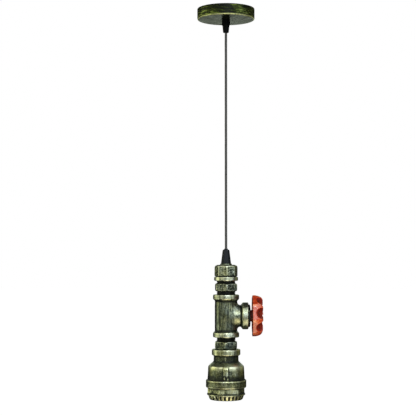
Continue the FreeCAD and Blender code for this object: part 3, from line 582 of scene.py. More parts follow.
def antique(name, base=0.27, mottle=1.0, gloss=0.0, tint=0.0, strokes=0.28):
    """Cast iron painted black, then dry-brushed with old gold: most on beads, shoulders and corners,
    blotchy on the faces, none in the grooves. Its lift and dark attributes also carry painted highlights and painted
    shade, set piece by piece."""
    p = Paint(name)
    o = p.mm()
    fine, broad, lift = p.attr("fine"), p.attr("broad"), p.attr("lift")
    edge = p.span(fine, 0.01, 0.14)
    ridge = p.span(broad, 0.05, 0.75)
    pit = p.span(fine, -0.015, -0.10)
    hollow = p.span(broad, -0.05, -0.6)
    patch = p.noise(o, 9.0, 2.0, 0.5, 0.5)
    blotch = p.noise(o, 4.2, 2.5, 0.55, 0.8)
    fleck = p.noise(o, 2.0, 2.0, 0.6, 0.4)
    grain = p.noise(o, 1.0, 2.0, 0.65, 0.3)
    brushed = p.noise(p.scaled(o, 0.42, 0.42, 0.07), 1.0, 3.0, 0.6, 0.5)
    worn = p.span(lift, 0.14, 0.62, 1.0, 0.24)
    vary = p.mul(p.add(p.mul(patch, 0.10 * mottle), p.mul(blotch, 0.34 * mottle), p.mul(fleck, 0.34 * mottle), p.mul(grain, 0.07 + 0.07 * mottle),
                       p.mul(brushed, strokes)), worn)
    level = p.add(base, p.mul(lift, 0.66), p.mul(edge, 0.18), p.mul(ridge, 0.06), p.mul(pit, -0.30), p.mul(hollow, -0.10), vary,
                  p.mul(p.attr("ticks"), 0.20))
    dark = p.attr("dark")
    level = p.math("MULTIPLY", level, p.math("SUBTRACT", 1.0, dark), clamp=True)
    warm = p.ramp(level, [(0.00, (0.003, 0.0036, 0.0026)), (0.15, (0.016, 0.019, 0.010)), (0.34, (0.100, 0.108, 0.056)),
                          (0.55, (0.26, 0.268, 0.140)), (0.78, (0.50, 0.51, 0.30)), (1.00, (0.74, 0.75, 0.53))])
    cool = p.ramp(level, [(0.00, (0.003, 0.0042, 0.0042)), (0.15, (0.014, 0.0195, 0.0185)), (0.34, (0.085, 0.106, 0.092)),
                          (0.55, (0.235, 0.268, 0.222)), (0.78, (0.47, 0.51, 0.43)), (1.00, (0.71, 0.75, 0.66))])
    col = p.mix(p.span(p.add(p.noise(o, 13.0, 2.0, 0.5), p.mul(blotch, 0.5)), -1.1 - tint, 0.7 - tint), warm, cool)
    height = p.add(p.mul(p.add(p.mul(blotch, 0.30), p.mul(fleck, 0.40), p.mul(grain, 0.35)), worn), p.mul(level, 0.3))
    rough = p.add(p.span(level, 0.1, 0.8, 0.32 - gloss, 0.28 - gloss), p.mul(grain, 0.04))
    p.set(color=col, metal=p.span(level, 0.06, 0.28, 0.30, 0.97), rough=rough, normal=p.bump(height, 0.19), spec=0.30)
    return p.m


def plain(name, color, rough, metal=0.0, size=1.0, depth=0.03, vary=0.12, coat=0.0, stretch=None, second=None, spec=0.5):
    """Moulded, turned or plated stuff: a colour that drifts a little, with a fine grain."""
    p = Paint(name)
    o = p.mm()
    g = p.scaled(o, *stretch) if stretch else o
    slow = p.noise(o, 14.0 * size, 2.0)
    fast = p.noise(g, 0.8 * size, 3.0, 0.6)
    tiny = p.noise(g, 0.25 * size, 2.0, 0.6)
    lo = tuple(c * (1 - vary) for c in color)
    hi = tuple(min(1.0, c * (1 + vary)) for c in color) if second is None else second
    fac = p.math("MULTIPLY_ADD", p.add(p.mul(slow, 0.6), p.mul(fast, 0.4)), 0.5, 0.5, clamp=True)
    p.set(color=p.mix(fac, lo, hi), metal=metal, rough=p.add(rough, p.mul(fast, 0.05), p.mul(tiny, 0.02)), coat=coat,
          normal=p.bump(p.add(p.mul(fast, 0.6), p.mul(tiny, 0.4)), depth), spec=spec)
    return p.m


IRON = antique("antique_iron", tint=0.16)
IRON_EVEN = antique("antique_iron_even", base=0.31, mottle=0.26, gloss=0.0, tint=0.16, strokes=0.32)
IRON_SMOOTH = antique("antique_iron_smooth", base=0.30, mottle=0.60, gloss=-0.035, tint=-0.55, strokes=0.20)
IRON_WARM = antique("antique_iron_warm", base=0.29, tint=-0.65)
IRON_LOW = antique("antique_iron_dark", base=0.13, mottle=0.4)
PLASTIC = plain("black_plastic", (0.0008, 0.0012, 0.0022), 0.52, size=0.8, depth=0.03, vary=0.25, spec=0.06)
PLASTIC_BLUE = plain("blue_black_plastic", (0.0040, 0.0062, 0.0120), 0.48, size=0.8, depth=0.03, vary=0.25, spec=0.20)
ZINC = plain("zinc_plate", (0.55, 0.55, 0.52), 0.34, metal=1.0, depth=0.02, vary=0.08, second=(0.62, 0.60, 0.50))
BRASS = plain("brass", (0.66, 0.48, 0.20), 0.30, metal=1.0, depth=0.02, vary=0.10, second=(0.74, 0.58, 0.29))
PORCELAIN = plain("porcelain", (0.80, 0.78, 0.72), 0.16, size=1.6, depth=0.02, vary=0.03, coat=0.6)
MOULDING = plain("dark_moulding", (0.020, 0.017, 0.014), 0.27, size=1.2, depth=0.02, vary=0.2, coat=0.25)
NYLON = plain("nylon", (0.66, 0.66, 0.60), 0.38, size=1.2, depth=0.02, vary=0.05)
SHEATH = plain("sheath", (0.020, 0.020, 0.021), 0.50, size=1.0, depth=0.03, vary=0.2)
CORE_BROWN = plain("core_brown", (0.19, 0.065, 0.025), 0.32, size=1.0, depth=0.01, vary=0.1)
CORE_BLUE = plain("core_blue", (0.03, 0.12, 0.42), 0.32, size=1.0, depth=0.01, vary=0.1)


def earth_core():
    """Green insulation with a yellow stripe that winds round it."""
    p = Paint("core_green_yellow")
    o = p.mm()
    w = p.node("TexWave", {"Vector": o, "Scale": 0.16, "Distortion": 1.2, "Detail": 0.0}, wave_type="BANDS", bands_direction="DIAGONAL")
    stripe = p.span(w.outputs["Fac"], 0.56, 0.62)
    tiny = p.noise(o, 0.3, 2.0)
    p.set(color=p.mix(stripe, (0.05, 0.30, 0.05), (0.72, 0.60, 0.05)), rough=p.add(0.32, p.mul(tiny, 0.03)), normal=p.bump(tiny, 0.01))
    return p.m


CORE_EARTH = earth_core()


def sheet_paint():
    """The canopy: pressed sheet, black, with old gold wiped along its side; satin underneath. Painted shade and painted
    highlights ride in the wipe, and a painted highlight runs along the rim.
    """
    p = Paint("antique_sheet")
    o = p.mm()
    fine, rim = p.attr("fine"), p.attr("rim")
    edge = p.span(fine, 0.02, 0.15)
    under = p.attr("under")
    inside = p.attr("inside")
    side = p.math("SUBTRACT", 1.0, p.math("MAXIMUM", under, inside))
    # long wiped strokes that run a little downhill round the side
    slant = p.scaled(o, 0.030, 0.030, 0.36, (0.05, 0.12, 0.0))
    wiped = p.noise(slant, 1.0, 3.0, 0.60, 1.6)
    streak = p.noise(p.scaled(o, 0.070, 0.070, 0.80, (-0.04, 0.10, 0.0)), 1.0, 3.5, 0.62, 0.8)
    patch = p.noise(o, 19.0, 2.0, 0.5, 0.6)
    grain = p.noise(o, 1.0, 2.0, 0.6)
    # wiped gold together with painted shade at the front and painted highlight bands at the sides
    wipe = p.attr("wipe")
    on_side = p.add(-0.03, p.mul(wipe, 0.42), p.mul(p.add(p.mul(wiped, 0.52), p.mul(streak, 0.66), p.mul(patch, 0.10)), p.add(0.45, p.mul(wipe, 0.75))),
                    p.mul(grain, 0.05), p.mul(edge, 0.10))
    scratch = p.noise(p.scaled(o, 0.05, 0.6, 0.0, (0, 0, 0.7)), 1.0, 3.0, 0.55, 0.8)
    cloud = p.noise(o, 12.0, 3.0, 0.55, 0.6)
    gold = p.noise(p.scaled(o, 0.035, 0.35, 0.0, (0, 0, -0.5)), 1.0, 3.0, 0.55, 1.2)
    on_under = p.add(0.36, p.mul(scratch, 0.20), p.mul(cloud, 0.14), p.mul(p.span(gold, 0.25, 1.2), 0.30), p.mul(grain, 0.03))
    col_side = p.ramp(on_side, [(0.0, (0.0018, 0.0026, 0.0012)), (0.20, (0.010, 0.014, 0.004)), (0.42, (0.060, 0.082, 0.018)),
                                (0.62, (0.20, 0.26, 0.060)), (0.85, (0.48, 0.57, 0.19)), (1.0, (0.76, 0.82, 0.42))])
    col_under = p.ramp(on_under, [(0.0, (0.010, 0.014, 0.009)), (0.30, (0.030, 0.040, 0.026)), (0.50, (0.070, 0.086, 0.060)),
                                  (0.75, (0.150, 0.190, 0.100)), (1.0, (0.34, 0.42, 0.18))])
    col_in = p.mix(p.span(patch, -1.0, 1.0), (0.030, 0.031, 0.028), (0.052, 0.053, 0.048))
    col = p.mix(inside, p.mix(under, col_side, col_under), col_in)
    # painted highlight along the rim, broken by the streaks
    rim_highlight = p.math("MULTIPLY", rim, p.add(0.95, p.mul(streak, 0.35)), clamp=True)
    col = p.mix(rim_highlight, col, (0.90, 0.95, 0.50))
    level = p.mix(under, on_side, on_under)
    rough = p.add(p.mix(under, (0.40,) * 3, (0.33,) * 3), p.mul(streak, 0.04), p.mul(p.mul(p.add(scratch, cloud), under), 0.08))
    height = p.add(p.mul(p.mul(wiped, side), 0.5), p.mul(p.mul(streak, side), 0.4), p.mul(grain, 0.12), p.mul(scratch, 0.22), p.mul(p.mul(cloud, under), 0.9))
    p.set(color=col, metal=p.mul(p.span(level, 0.05, 0.3, 0.35, 0.96), p.math("SUBTRACT", 1.0, inside)), rough=rough,
          normal=p.bump(height, 0.10), spec=0.12)
    return p.m


SHEET = sheet_paint()


def red_paint():
    """Glossy red-orange enamel on the cast wheel, with painted shade in the scoops and hollows and along the back edge,
    and painted highlights on the ridges.
    """
    p = Paint("red_paint")
    o = p.mm()
    fine, broad = p.attr("fine"), p.attr("broad")
    pit, rub, back = p.attr("pit"), p.attr("rub"), p.attr("back")
    edge = p.span(fine, 0.03, 0.16)
    ridge = p.span(broad, 0.10, 0.9)
    blotch = p.noise(o, 4.6, 3.0, 0.6, 0.7)
    grain = p.noise(o, 1.6, 2.5, 0.6)
    orange_peel = p.noise(o, 0.9, 1.0, 0.5)
    level = p.add(0.56, p.mul(edge, 0.20), p.mul(ridge, 0.05), p.mul(pit, -0.42), p.mul(rub, 0.26), p.mul(back, -0.30), p.mul(blotch, 0.12),
                  p.mul(grain, 0.06))
    col = p.ramp(level, [(0.0, (0.022, 0.0008, 0.0004)), (0.22, (0.12, 0.0030, 0.0010)), (0.46, (0.40, 0.020, 0.0030)),
                         (0.66, (0.62, 0.070, 0.012)), (0.86, (0.80, 0.20, 0.070)), (1.0, (0.90, 0.40, 0.24))])
    rough = p.add(0.40, p.mul(blotch, 0.04), p.mul(pit, 0.15))
    p.set(color=col, rough=rough, coat=p.span(pit, 0.0, 0.6, 0.90, 0.05), normal=p.bump(p.add(p.mul(orange_peel, 0.35), p.mul(blotch, 0.7)), 0.13), spec=0.3)
    p.b.inputs["Coat Roughness"].default_value = 0.18
    p.b.inputs["Coat IOR"].default_value = 1.85
    return p.m


RED = red_paint()


def woven():
    """Braided textile cover: two families of yarn crossing round the cord."""
    p = Paint("cord_cover")
    rest = p.attr("rest", "Vector")
    sep = p.node("SeparateXYZ", {0: rest})
    x, y, z = sep.outputs
    angle = p.math("ARCTAN2", y, x)
    along = p.mul(z, 2 * PI / 3.4)
    carriers = 8.0
    one = p.math("SINE", p.math("ADD", p.mul(angle, carriers), p.mul(along, 2.0)))
    two = p.math("SINE", p.math("SUBTRACT", p.mul(angle, carriers), p.mul(along, 2.0)))
    over = p.math("SINE", p.math("ADD", p.mul(angle, carriers), PI / 2))
    top = p.math("GREATER_THAN", p.math("MULTIPLY", p.math("SINE", p.mul(along, 2.0)), over), 0.0)
    yarn = p.add(p.mul(p.math("ABSOLUTE", one), top), p.mul(p.math("ABSOLUTE", two), p.math("SUBTRACT", 1.0, top)))
    strand = p.math("SINE", p.math("ADD", p.mul(angle, 34.0), p.mul(along, 8.5)))
    fuzz = p.noise(rest, 0.22, 3.0, 0.7)
    slow = p.noise(p.scaled(rest, 1, 1, 0.08), 1.6, 2.0, 0.6)
    level = p.add(0.22, p.mul(yarn, 0.46), p.mul(strand, 0.07), p.mul(fuzz, 0.10), p.mul(slow, 0.07))
    col = p.ramp(level, [(0.0, (0.006, 0.006, 0.008)), (0.35, (0.022, 0.022, 0.026)), (0.65, (0.060, 0.060, 0.068)),
                         (1.0, (0.15, 0.15, 0.165))])
    p.set(color=col, rough=p.span(level, 0.0, 1.0, 0.9, 0.72), normal=p.bump(p.add(yarn, p.mul(strand, 0.12), p.mul(fuzz, 0.10)), 0.11))
    p.b.inputs["Sheen Weight"].default_value = 0.25
    p.b.inputs["Sheen Roughness"].default_value = 0.5
    return p.m


CORD = woven()


# --------------------------------------------------------------------- cord
# The route of the visible stretch: straight out of the ceiling grip, straight
# into the grip on the lamp.
CORD_R = 2.2
CORD_TOP, CORD_BOT = -41.7, -418.6
route = [(0, 0, CORD_TOP), (0, 0, -68.0), (0, 0, -392.0), (0, 0, CORD_BOT)]
curve = bpy.data.curves.new("cord_route", "CURVE")
curve.dimensions = "3D"
curve.resolution_u = 64
spline = curve.splines.new("NURBS")
spline.points.add(len(route) - 1)
for q, pt in zip(spline.points, route):
    q.co = (pt[0] * MM, pt[1] * MM, pt[2] * MM, 1.0)
spline.order_u = 3
spline.use_endpoint_u = True
carrier = bpy.data.objects.new("cord_route", curve)
bpy.context.scene.collection.objects.link(carrier)
bpy.context.view_layer.update()
walked = bpy.data.meshes.new_from_object(carrier)
path = np.array([q.co for q in walked.vertices], float) / MM
bpy.data.objects.remove(carrier)
bpy.data.curves.remove(curve)
bpy.data.meshes.remove(walked)
seg = np.concatenate([[0], np.cumsum(np.linalg.norm(np.diff(path, axis=0), axis=1))])
cord_length = float(seg[-1])
rows = 560
marks = np.linspace(0, seg[-1], rows)
centre = np.stack([np.interp(marks, seg, path[:, k]) for k in range(3)], 1)
cols = 36
th = np.arange(cols) * 2 * PI / cols
T, S = np.meshgrid(th, marks, indexing="ij")
T, S = T.T, S.T
# three laid-up cores swell the cover a little, and the braid is never quite even
swell = 0.035 * np.cos(3 * T - 2 * PI * S / 46.0) + 0.020 * np.cos(8 * T + 4 * PI * S / 3.4) * np.cos(8 * T - 4 * PI * S / 3.4)
flat = np.stack([np.cos(T) * 1.5, np.sin(T) * 1.5, S * 0.35], -1)
rr = CORD_R - 0.05 + swell + 0.025 * noise(flat, 1.3, 91)
v = np.stack([rr * np.cos(T) + centre[:, 0][:, None], rr * np.sin(T) + centre[:, 1][:, None], 0 * T + centre[:, 2][:, None]], -1).reshape(-1, 3)
quads = ring_quads(rows, cols, False)
v = np.vstack([v, centre[:1], centre[-1:]])
j = np.arange(cols)
k = (j + 1) % cols
end = (rows - 1) * cols
tris = np.concatenate([np.stack([np.full(cols, rows * cols), k, j], 1), np.stack([end + j, end + k, np.full(cols, rows * cols + 1)], 1)])
a, b, c, d = (v[quads[:, q]] for q in range(4))
if (np.einsum("ij,ij->i", a, np.cross(b, c)) + np.einsum("ij,ij->i", a, np.cross(c, d))).sum() < 0:
    quads, tris = quads[:, ::-1], tris[:, ::-1]
cord_obj = build("cord", v, quads, tris)
rest = cord_obj.data.attributes.new("rest", "FLOAT_VECTOR", "POINT")
rest.data.foreach_set("vector", v.astype(np.float32).ravel())
cord_obj.data.materials.append(CORD)
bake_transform(cord_obj)
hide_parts("pendant_cord")


# ------------------------------------------------------------------- canopy
def canopy_pitch(r, z):
    if r > 47.0 and z < -16.0:
        return 0.25
    return 0.9 if r > 48.5 else 1.6


obj, v, q = lathe("canopy_cup", [(5.3, -19.0, 0.3), (50.0, -19.0, 1.8), (50.0, 0.0, 0.45), (48.8, 0.0, 0.3), (48.8, -17.8, 0.6), (5.3, -17.8)],
                  300, canopy_pitch, 0.18, tight=6, wide=30, cast=0.05, seed=3)
r = np.hypot(v[:, 0], v[:, 1])
attribute(obj, "under", step01(48.6 - r, 0.0, 1.2) * step01(-v[:, 2], 18.2, 18.7))
attribute(obj, "inside", np.where((r < 49.4) & (v[:, 2] > -18.4), 1.0, 0.0))
# the pressed corner: a painted highlight along it, brightest at one angle of its rounding
way = np.degrees(np.arctan2(-(v[:, 2] + 17.2), r - 48.2))
attribute(obj, "rim", np.exp(-((way - 52.0) / 34.0) ** 2) * (np.hypot(r - 48.2, v[:, 2] + 17.2) > 1.2) * (r > 47.2) * (v[:, 2] < -16.2))
# where old gold was wiped on, in random patches, with painted light on top: painted shade dims the front itself, and
# painted highlight bands lie to its left and right
az = np.degrees(np.arctan2(v[:, 0], -v[:, 1]))
wipe = 0.55 + 0.45 * fbm(np.stack([v[:, 0] * 0.5, v[:, 1] * 0.5, v[:, 2] * 2.2], 1), 14.0, 7, 2)
wipe = wipe * (1 - 0.70 * np.exp(-((az + 2.0) / 24.0) ** 2)) + 0.08 * np.exp(-((az - 33.0 - 1.6 * (v[:, 2] + 9.0)) / 13.0) ** 2)
wipe = wipe + 0.26 * np.exp(-((az + 52.0 + 1.2 * (v[:, 2] + 9.0)) / 20.0) ** 2)
attribute(obj, "wipe", np.clip(wipe, 0, 1))
place(obj, "canopy", "antique_sheet", SHEET, "canopy_shell")


def grip_hex(theta, r, z, extra):
    hexagon = polygon_r(theta, 6, 13.2 / math.sqrt(3), turn(12), 0.7)
    cut = smin(r, hexagon, 0.25)
    return np.where((z > -29.2) & (r > 5.6), cut, r)


obj, v, q = lathe("ceiling_grip", [(5.0, -19.0), (7.4, -19.0, 0.3), (7.62, -19.6, 0.2), (7.62, -27.7, 0.4), (6.9, -28.9, 0.3), (6.1, -29.1, 0.3),
                                   (5.05, -40.6, 0.4), (4.75, -41.7, 0.5), (2.42, -41.7, 0.5), (2.42, -39.3), (3.7, -39.3), (3.7, -27.0), (5.0, -27.0)],
                  120, lambda r, z: 0.4 if r > 5.02 or z < -40 else 1.2, 0.14, shape=grip_hex, wear=False)
place(obj, "canopy", "black_plastic", PLASTIC, "canopy_cord_grip")


# ------------------------------------------------------------- lamp's grip
def taper_hex(theta, r, z, extra):
    t = np.clip((-422.2 - z) / 22.2, 0, 1)
    rc = np.where(z > -422.2, 6.15 - 0.5 * (z + 422.2) / 1.6, 6.15 + t * (8.95 - 6.15))
    flat = polygon_r(theta, 6, rc, 0.0, 0.75)
    return np.where((z < -420.45) & (r > 5.02), smin(r, flat, 0.3), r)


obj, v, q = lathe("lamp_grip", [(2.42, -418.6, 0.4), (3.0, -418.6, 0.5), (3.65, -420.6, 0.3), (5.2, -420.6, 0.6), (6.05, -422.2, 0.8),
                                (8.85, -444.4, 0.5), (5.0, -444.4), (5.0, -434.0), (3.9, -434.0), (3.9, -424.0), (2.42, -424.0)],
                  144, lambda r, z: 0.45 if r > 4.0 + (z < -436) * 1.5 or z > -421 else 1.4, 0.16, shape=taper_hex, wear=False)
place(obj, "pendant", "black_plastic", PLASTIC_BLUE, "lamp_cord_grip")

obj, v, q = lathe("grip_seat", [(5.1, -444.4), (9.4, -444.4, 0.5), (10.3, -446.2, 0.4), (10.3, -446.8), (5.1, -446.8)],
                  160, 0.4, 0.16, cast=0.05, seed=5, tight=5, wide=20)
attribute(obj, "dark", np.full(len(v), 0.30))
attribute(obj, "lift", np.full(len(v), 0.30))
attribute(obj, "ticks", np.zeros(len(v)))
place(obj, "pendant", "antique_iron", IRON, "grip_seat_washer")


# ----------------------------------------------------------------- fittings
def streaks(v, size, seed, about=(0.0, 0.0)):
    """Light and dark marks side by side round a bead, as a dry brush leaves them."""
    a = np.arctan2(v[:, 1] - about[1], v[:, 0] - about[0])
    r = np.hypot(v[:, 0] - about[0], v[:, 1] - about[1]).mean()
    p = np.stack([np.cos(a) * r, np.sin(a) * r, v[:, 2] * 0.16], 1)
    return np.clip(1.6 * fbm(p, size, seed, 2), -1, 1)


def finish_iron(obj, v, lift, dark, ticks, body, slot, material, *nodes):
    attribute(obj, "lift", np.clip(lift, 0, 1) * np.ones(len(v)))
    attribute(obj, "dark", np.clip(dark, 0, 1))
    attribute(obj, "ticks", ticks)
    place(obj, body, slot, material, *nodes)


def azimuth(v):
    """Degrees from the front towards +X."""
    return np.degrees(np.arctan2(v[:, 0], -v[:, 1]))


def near(az, middle, wide):
    return np.exp(-(((az - middle + 180.0) % 360.0 - 180.0) / wide) ** 2)


def outer_pitch(fine_d, coarse, bore):
    return lambda r, z: fine_d if r > bore + 0.3 else coarse


def cap_shape(theta, r, z, extra):
    octagon = polygon_r(theta, 8, 20.2, turn(4), 0.9)
    wobble = 0.10 * noise(np.stack([np.cos(theta) * 18, np.sin(theta) * 18, z], -1), 7.0, 21)
    return np.where((z > -466.5) & (r > 14.5), smin(r, octagon + wobble, 0.45), r)


obj, v, q = lathe("pipe_cap_8", [(5.1, -446.8, 0.2), (15.2, -446.8, 1.2), (19.0, -448.5, 1.5), (20.2, -451.4, 1.2), (20.2, -466.2, 0.5), (18.2, -466.3, 0.3),
                                 (18.2, -467.4, 0.3), (20.75, -467.4, 1.2), (20.75, -474.5, 1.6), (16.7, -474.5, 0.3), (16.7, -457.0),
                                 (15.0, -457.0), (15.0, -451.3), (5.1, -451.3)],
                  264, lambda r, z: 0.45 if (r > 16.9 or z > -447.5) else 2.2, 0.30, shape=cap_shape, cast=0.13, seed=31)
rad = np.hypot(v[:, 0], v[:, 1])
bead = step01(-v[:, 2], 467.0, 467.9)
groove = np.exp(-((v[:, 2] + 466.4) / 1.1) ** 2)
cap_top = step01(v[:, 2], -450.6, -449.4)
az = azimuth(v)
to_corner = np.abs((az - 4.0 + 22.5) % 45.0 - 22.5) * math.radians(20.0)
corner = np.exp(-(to_corner / 0.85) ** 2) * (1 - bead) * (v[:, 2] < -449.5)
lift = 0.27 + 0.35 * bead + 0.34 * cap_top - 0.35 * (rad < 14.6) * cap_top + 0.30 * corner
# painted highlight on the face near -19°, painted shade on the face near +28°
lift = lift + (1 - bead) * (0.10 * near(az, -19, 18) - 0.17 * near(az, 28, 17)) * (v[:, 2] < -450.5)
# dark: painted shadow in the groove just above the bead; the bore is left black
finish_iron(obj, v, lift, 0.90 * groove + 1.0 * ((rad < 16.9) & (v[:, 2] < -451)), streaks(v, 2.6, 33) * (0.15 + 0.85 * bead), "pendant",
            "antique_iron", IRON, "pipe_cap")

PITCH = 25.4 / 11


def nipple(name, top, corner, up, down, show, seed, node):
    low = top - 13.6

    def spacing(r, z):
        if r < 13.6:
            return 2.6
        if any(a < z < b for a, b in show):
            return 0.26
        return 0.45 if low - 0.3 < z < top + 0.3 else 1.4

    def shape(theta, r, z, extra):
        hexagon = polygon_r(theta, 6, 21.3, turn(corner), 1.0)
        wobble = 0.08 * noise(np.stack([np.cos(theta) * 18, np.sin(theta) * 18, z], -1), 6.0, seed)
        on_hex = (z < top + 0.05) & (z > low - 0.05) & (r > 16.9)
        r = np.where(on_hex, smin(r, hexagon + wobble, 0.4), r)
        # the pipe thread, right-handed, 11 to the inch
        turns = z / PITCH - theta / (2 * PI)
        saw = np.abs((turns % 1.0) * 2 - 1)
        groove = 1.15 * step01(saw, 0.12, 0.88)
        seen = sum((step01(z, a, a + 0.5) * (1 - step01(z, b - 0.5, b)) for a, b in show), np.zeros_like(z))
        band = ((r > 15.9) & (r < 16.8)).astype(float)
        return r - band * (0.12 + seen * groove)

    obj, v, q = lathe(name, [(13.2, top + up), (15.7, top + up), (16.6, top + up - 1.2), (16.6, top), (17.3, top, 0.3), (21.3, top - 2.6, 0.8),
                             (21.3, low + 2.6, 0.8), (17.3, low, 0.3), (16.6, low), (16.6, low - down + 1.2), (15.7, low - down),
                             (13.2, low - down)],
                      264, spacing, 0.22, shape=shape, cast=0.10, seed=seed)
    rad = np.hypot(v[:, 0], v[:, 1])
    in_hex = step01(v[:, 2], low - 0.1, low + 0.3) * (1 - step01(v[:, 2], top - 0.3, top + 0.1))
    # painted shade on the lower half of the hex, strong on the lower nipple and faint on the upper, with less of it on
    # the lit left front
    low_half_shade = step01(-v[:, 2], -top + 2.6, -low - 4.0) * in_hex * (0.50 if down < up else 0.06)
    dark = np.where(rad < 13.9, 1.0, np.maximum((1 - in_hex) * 0.93, low_half_shade * (1 - 0.45 * near(azimuth(v), -30, 26))))
    slope = in_hex * np.clip(step01(v[:, 2], top - 2.9, top - 1.6) + step01(-v[:, 2], -low - 2.9, -low - 1.6), 0, 1)
    to_corner = np.abs((azimuth(v) - corner + 30.0) % 60.0 - 30.0) * math.radians(21.0)
    arris = np.exp(-(to_corner / 0.9) ** 2) * in_hex
    tone = 0.05 * np.sin(np.radians(azimuth(v) * 3 + 7.0 * seed))
    finish_iron(obj, v, (0.16 + tone) * in_hex + 0.24 * slope + 0.24 * arris, dark, streaks(v, 2.8, seed + 3) * 0.35 * in_hex, "pendant", "antique_iron", IRON, node)


nipple("hex_nipple_upper", -478.9, 4, 20.5, 20.5, ((-479.2, -474.2), (-498.8, -492.2)), 41, "upper_hex_nipple")
nipple("hex_nipple_lower", -578.6, -5, 20.5, 17.5, ((-578.9, -571.4), (-593.0, -592.0)), 51, "lower_hex_nipple")

# tee
TT, TB = TEE_Z + 36.8, TEE_Z - 36.8
run_outline = Outline([(-30, TT), (22.7, TT, 1.5), (22.7, TT - 7.6, 2.6), (19.1, TT - 11.0, 3.2), (19.1, TB + 11.0, 3.2), (22.7, TB + 7.6, 2.6),
                       (22.7, TB, 1.5), (-30, TB)], 0.30)
arm_outline = Outline([(-30, 0), (18.4, 0), (18.4, 25.7, 2.4), (23.3, 28.5, 1.9), (23.3, 38.6, 1.8), (-30, 38.6)], 0.30)
run_bore = Outline([(-30, TT + 8), (16.65, TT + 8), (16.65, TT - 17), (15.4, TT - 18), (15.4, TB + 18), (16.65, TB + 17), (16.65, TB - 8), (-30, TB - 8)], 0.2)
arm_bore = Outline([(-30, 0), (15.4, 0), (15.4, 21), (16.65, 22), (16.65, 48), (-30, 48)], 0.2)


def tee(p):
    x, y, z = p[:, 0], p[:, 1], p[:, 2]
    dz = z - TEE_Z
    r = np.hypot(x, y)
    ra = np.hypot(y, dz)
    run = run_outline(r, z)
    arm = arm_outline(ra, x)
    body = smin(run, arm, 6.6)
    # the casting's parting line, round the outside in the plane of both axes
    flash = 0.32 * np.exp(-(y / 0.55) ** 2) * (np.abs(dz) < 26) * (x < 27)
    body = body - flash
    pad = np.maximum(np.hypot(y, dz - 8.0) - 4.2, np.maximum(x + 11.7, -17.0 - x))
    hollow = np.minimum(run_bore(r, z), arm_bore(ra, x))
    body = np.maximum(body, -hollow)
    body = smin(body, pad, 0.6)
    tapped = np.maximum(np.hypot(y, dz - 8.0) - 1.6, np.maximum(x + 11.4, -16.6 - x))
    return np.maximum(body, -tapped)


obj, v, q = field("tee_1_inch", tee, (-24.2, -24.6, TB - 1.2), (40.2, 24.6, TT + 1.2), 0.62, cast=0.15, seed=61, wide=60)
dz = v[:, 2] - TEE_Z
rad, arad = np.hypot(v[:, 0], v[:, 1]), np.hypot(v[:, 1], dz)
inside = ((rad < 16.9) & (v[:, 0] < 16)) | ((arad < 16.9) & (v[:, 0] > 14))
beads = step01(np.abs(dz), 26.8, 28.6)
arm_bead = step01(v[:, 0], 26.5, 28.5)
arm_ticks = streaks(np.stack([dz, v[:, 1], v[:, 0]], 1), 3.2, 65)
# painted highlight on the branch's neck and fillets, with a painted shade line along its side
arm_neck_highlight = step01(v[:, 0], 8.5, 15.0) * (1 - step01(v[:, 0], 23.5, 25.5)) * (1 - 0.8 * np.exp(-((dz - 0.5) / 2.2) ** 2))
# painted shadow in the creases next to the run's beads and at the foot of the branch's bead
bead_crease_shade = np.exp(-((np.abs(dz) - 25.0) / 1.5) ** 2) * (rad < 21.5) * (v[:, 0] < 20)
arm_bead_crease_shade = np.exp(-((v[:, 0] - 25.9) / 1.2) ** 2) * (arad > 17)
az = azimuth(v)
plain_run = (1 - beads) * (1 - step01(v[:, 0], 15.0, 18.0))
lift = 0.02 + (0.37 + 0.13 * (dz < 0)) * beads + (0.44 - 0.06 * (dz < 0)) * arm_bead + 0.40 * arm_neck_highlight
# painted reflections on the run: a light band near -48°, a faint lift near -8°, painted shade near +28° and on the
# beads' right ends
lift = lift + plain_run * (0.20 * near(az, -48, 6.5) + 0.07 * near(az, -8, 14) - 0.10 * near(az, 28, 16)) - 0.30 * beads * near(az, 62, 20)
# painted shade: dark bands near -74° and -36° on the run, and on the beads near +68°
painted_edge_shade = plain_run * np.maximum(0.45 * near(az, -74, 13), 0.66 * near(az, -36, 3.0)) + 0.34 * beads * near(az, 68, 15)
finish_iron(obj, v, lift, np.maximum(np.maximum(1.0 * inside, painted_edge_shade), np.maximum(0.62 * bead_crease_shade, 0.75 * arm_bead_crease_shade)),
            np.where(arm_bead > 0.5, arm_ticks * 0.25, streaks(v, 2.6, 63) * (0.12 + 0.88 * beads)), "pendant", "antique_iron", IRON_EVEN, "pipe_tee")


# plug in the branch, with the switch's bush through it
def plug_hex(theta, r, z, extra):
    hexagon = polygon_r(theta, 6, 19.7, 0.0, 0.9)
    return np.where((z > 38.55) & (r > 8), smin(r, hexagon, 0.35), r)


obj, v, q = lathe("branch_plug_hex", [(5.1, 37.5), (14.0, 37.5), (14.0, 22.5), (16.6, 22.5), (16.6, 38.6), (19.7, 38.6, 0.2), (19.7, 40.8, 0.4),
                                      (17.2, 41.9, 0.3), (5.1, 41.9, 0.2)],
                  216, lambda r, z: 0.42 if z > 38.0 else 1.6, 0.2, shape=plug_hex, cast=0.10, seed=71, branch=True, tight=8, wide=40)
attribute(obj, "dark", 0.30 + 0.70 * (v[:, 0] < 38.3))
place(obj, "pendant", "thread_dark", IRON_LOW, "branch_plug")

# reducing socket
RIB = np.array([(-619.5, 29.3), (-622.0, 31.6), (-624.5, 33.1), (-630.0, 33.45), (-638.0, 33.75), (-645.5, 34.1), (-648.0, 34.3)])[::-1]


